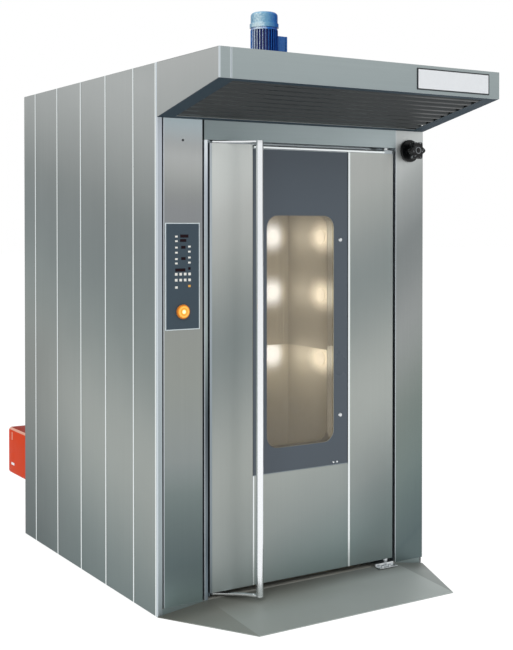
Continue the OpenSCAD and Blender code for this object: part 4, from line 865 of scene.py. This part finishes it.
gear_blue = gloss_blue("gear_blue", [(-0.6, (18, 52, 116)), (1.0, (60, 116, 190))], reach=0.09)
eased("gearbox", [gear_blue], radius=0.003)
motor_low, motor_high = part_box("motor_body")
barrel_r, valley_r, fin_reach, fin_half_t, fin_taper, fin_count = 0.063, 0.0665, 0.074, 0.0016, 0.55, 28
end_ring, fin_sunk = 0.012, 0.001
barrel_blue = gloss_blue("barrel_blue", [(-0.6, (18, 50, 128)), (0.3, (40, 88, 164)), (0.75, (88, 132, 196)),
    (1.0, (222, 236, 248))], reach=fin_reach, valley=valley_r)
barrel_h = motor_high.z - motor_low.z
work = bmesh.new()
for radius, low_z, high_z in ((barrel_r, 0.0, barrel_h), (fin_reach, 0.0, end_ring),
        (fin_reach - 0.003, barrel_h - end_ring, barrel_h)):
    bmesh.ops.create_cone(work, cap_ends=True, segments=64, radius1=radius, radius2=radius,
        depth=high_z - low_z, matrix=Matrix.Translation((0.0, 0.0, (low_z + high_z) / 2)))
barrel = bpy.data.meshes.new("motor_barrel")
work.to_mesh(barrel)
work.free()
fin = block("motor_fin", (barrel_r - fin_sunk, -fin_half_t, end_ring - fin_sunk),
    (fin_reach, fin_half_t, barrel_h - end_ring + fin_sunk), fin_taper)
fins = grown("motor_fins", repeat_tree, fin, {"Count": fin_count, "Step": (0.0, 0.0, 0.0),
    "Turn": 2 * math.pi / fin_count, "Finish": barrel_blue})
for name, mesh, replaced in (("motor_barrel", barrel, ("motor_body",)), ("motor_fins", fins, ())):
    mesh.transform(Matrix.Translation((axis_x, axis_y, motor_low.z)))
    smoothed(mesh)
    shown(name, mesh, [barrel_blue], "cabinet", replaced)

box_blue = coated("terminal_box_blue", paint(24, 82, 148),
    roughness=0.28, metallic=0.0, scale=40.0, spread=0.3, shine=0.3)
terminal_sunk, terminal_half, terminal_rise, terminal_h = 0.004, 0.045, 0.088, 0.083
terminal_short, lid_t, lid_gap = 0.020, 0.012, 0.0015
terminal_foot = motor_low.z + terminal_rise
terminal_low = Vector((axis_x + barrel_r - terminal_sunk, axis_y - terminal_half, terminal_foot))
terminal_high = Vector((motor_high.x - terminal_short, axis_y + terminal_half, terminal_foot + terminal_h))


def soft_block(name, low, high, radius):
    """A part of the terminal box: a moulded block with rounded edges."""
    mesh = block(name, low, high)
    work = bmesh.new()
    work.from_mesh(mesh)
    bmesh.ops.bevel(work, geom=work.edges[:], offset=radius, segments=3, profile=0.5, affect="EDGES",
        clamp_overlap=True)
    work.to_mesh(mesh)
    work.free()
    smoothed(mesh)
    shown(name, mesh, [box_blue], "cabinet")


soft_block("terminal_box", terminal_low,
    (terminal_high.x - lid_t - lid_gap, terminal_high.y, terminal_high.z), radius=0.004)
soft_block("terminal_lid", (terminal_high.x - lid_t, terminal_low.y, terminal_low.z), terminal_high,
    radius=0.003)
bolt_ring, bolt_count, flange_t = 0.100, 8, 0.012
flange_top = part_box("gearbox")[0].z + flange_t
bolt_angles = [2 * math.pi * i / bolt_count for i in range(bolt_count)]
screws("gear_bolts", [(axis_x + bolt_ring * math.cos(a), axis_y + bolt_ring * math.sin(a), flange_top)
    for a in bolt_angles], up, "cabinet", radius=0.007, rise=0.006)
cowl_blue = gloss_blue("cowl_blue", [(-0.5, (18, 70, 142)), (0.25, (30, 92, 158)), (0.6, (84, 136, 176)),
    (0.86, (134, 176, 200)), (1.0, (204, 226, 234))], reach=0.078, slots=True)
eased("motor_cowl", [cowl_blue], radius=0.001)
dressed(["motor_fan", "rotor_shaft", "rack_hook"], galvanised)


# ---- Door ----
# Welded frame with brushed outer skins, bright trims and a wool filling in front of a folded liner.
# The slate enamelled surround is screwed over clear panes. The light of the chamber lamps on their
# spacers is painted on as glow.
skin_shades = [(-0.08, (122, 136, 135)), (0.1, (128, 142, 141)), (0.35, (146, 154, 152)),
    (0.8, (165, 170, 166)), (1.35, (134, 142, 141)), (1.75, (167, 171, 168)), (2.0, (190, 193, 190)),
    (2.25, (214, 218, 215))]
# Painted shade over the lower right of the skins and painted light over their lower left.
skin_steel = brushed("skin_steel", skin_shades, lean=(-0.38, 0.0), metallic=0.6,
    patches=[(0, 0.2, 0.55, 0.9, 0.2, 0.36, (44, 56, 58)), (0, 0.0, -0.4, 0.5, 0.1, 0.10, (226, 232, 230))])
surround_low, surround_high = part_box("window_surround")
window_mid, window_half, tunnel_margin, tunnel_end_margin = 0.0085, 0.206, 0.01, 0.05


def seen_within(face, low, high, beside=0.0, above=0.0):
    """Whether the middle of a face lies inside two corners, seen from the front."""
    middle = face.calc_center_median()
    return low.x + beside < middle.x < high.x - beside and low.z + above < middle.z < high.z - above


edge_steel = brushed("door_edge", [(0.0, (132, 142, 148)), (1.2, (160, 170, 176)), (2.2, (186, 194, 198))])
tunnel_sheet = polished("tunnel_sheet", (242, 238, 228), roughness=0.14)
eased("door_frame", [edge_steel, tunnel_sheet], radius=0.0006,
    facing=lambda face: abs(face.normal.y) < 0.3
    and seen_within(face, surround_low, surround_high, tunnel_margin, tunnel_end_margin))
eased("door_skins", [skin_steel], radius=0.0006)
eased("door_wool", [wool_finish, edge_steel], radius=0.0005,
    facing=lambda face: face.normal.y > 0.9 or abs(face.normal.x) > 0.9)
eased("door_trim", [strip_metal], radius=0.0008)
slate = coated("slate_enamel", paint(74, 83, 92),
    roughness=0.3, metallic=0.0, scale=4.0, spread=0.1, shine=0.35)
glass_rim = coated("glass_rim", paint(176, 174, 160), roughness=0.3, metallic=0.0, scale=30.0, spread=0.1)
eased("window_surround", [slate, glass_rim], radius=0.0008,
    facing=lambda face: abs(face.normal.y) < 0.9
    and abs(face.calc_center_median().x - window_mid) < window_half)
glass_finish, start, place = open_finish("window_glass")
film = start.node("ShaderNodeTexNoise", {}, {"Vector": place, "Scale": 7.0, "Detail": 5.0})
clear = start.node("ShaderNodeBsdfTransparent", {}, {"Color": (0.96, 0.96, 0.96, 1.0)})
baked_film = start.node("ShaderNodeBsdfDiffuse", {}, {"Color": paint(196, 182, 156)})
hazy = start.node("ShaderNodeMixShader", {}, {0: film * 0.10 + 0.04, 1: clear, 2: baked_film})
mirror = start.node("ShaderNodeBsdfGlossy", {}, {"Color": (0.9, 0.95, 1.0, 1.0), "Roughness": 0.04})
edge_glare = start.node("ShaderNodeFresnel", {}, {"IOR": 1.3})
pane = start.node("ShaderNodeMixShader", {}, {0: edge_glare * 0.6, 1: hazy, 2: mirror})
start.node("ShaderNodeOutputMaterial", {}, {"Surface": pane})
eased("window_glass", [glass_finish], radius=0.0005)
liner_steel = brushed("liner_steel", [(0.0, (150, 148, 140)), (2.6, (176, 172, 160))])
spacer_finish, start, place = open_finish("lit_spacer")
# Painted light: glow on the spacers at the heights of the lamp rows.
lit_heights, lit_below, lit_reach = (1.108, 1.416, 1.706), 1.166, 0.11
z = place.axes()[2]
lowest = z.away(lit_heights[0]) + z.between(lit_below, lit_below + 0.002)
spill = lowest.least(z.away(lit_heights[1])).least(z.away(lit_heights[2])).between(lit_reach, 0.01)
close_finish(start, {"Base Color": paint(120, 114, 100), "Roughness": 0.5,
    "Emission Color": spill.mixed(paint(128, 120, 104), paint(250, 240, 214)), "Emission Strength": 0.8})
pane_low, pane_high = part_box("window_glass")
eased("door_liner", [liner_steel, spacer_finish], radius=0.0006,
    facing=lambda face: face.normal.y < -0.5 and seen_within(face, pane_low, pane_high))
silicone = coated("silicone", paint(52, 54, 56), roughness=0.6, metallic=0.0, scale=70.0, spread=0.2)
eased("door_seal", [silicone], radius=0.002)
glass_screw_inset, glass_screw_heights = 0.044, (0.826, 1.697)
glass_screws = [(x, surround_low.y, z)
    for x in (surround_low.x + glass_screw_inset, surround_high.x - glass_screw_inset)
    for z in glass_screw_heights]
screws("surround_screws", glass_screws, front, "door", radius=0.011, rise=0.004,
    socket=screw_metal)
trim_screw_insets, trim_screw_rise = (0.064, 0.086), 0.012
trim_screws = [(surround_high.x - inset, surround_low.y, surround_low.z + trim_screw_rise)
    for inset in trim_screw_insets]
screws("trim_screws", trim_screws, front, "door", radius=0.006, rise=0.003,
    socket=screw_metal)


# ---- Hinges, handle and latch ----
# Polished stainless tube on two cranks that turn the galvanised latch shaft, and cast hinge brackets
# under and over the door.
handle_metal = polished("handle_metal", (240, 243, 245), roughness=0.16)
eased("handle_bar", [handle_metal], radius=0.001)
eased("handle_cranks", [handle_metal], radius=0.001)
dressed(["latch_shaft"], galvanised)
bracket_metal = polished("bracket_metal", (214, 218, 220), roughness=0.3)
eased("hinge_brackets", [bracket_metal], radius=0.0015)
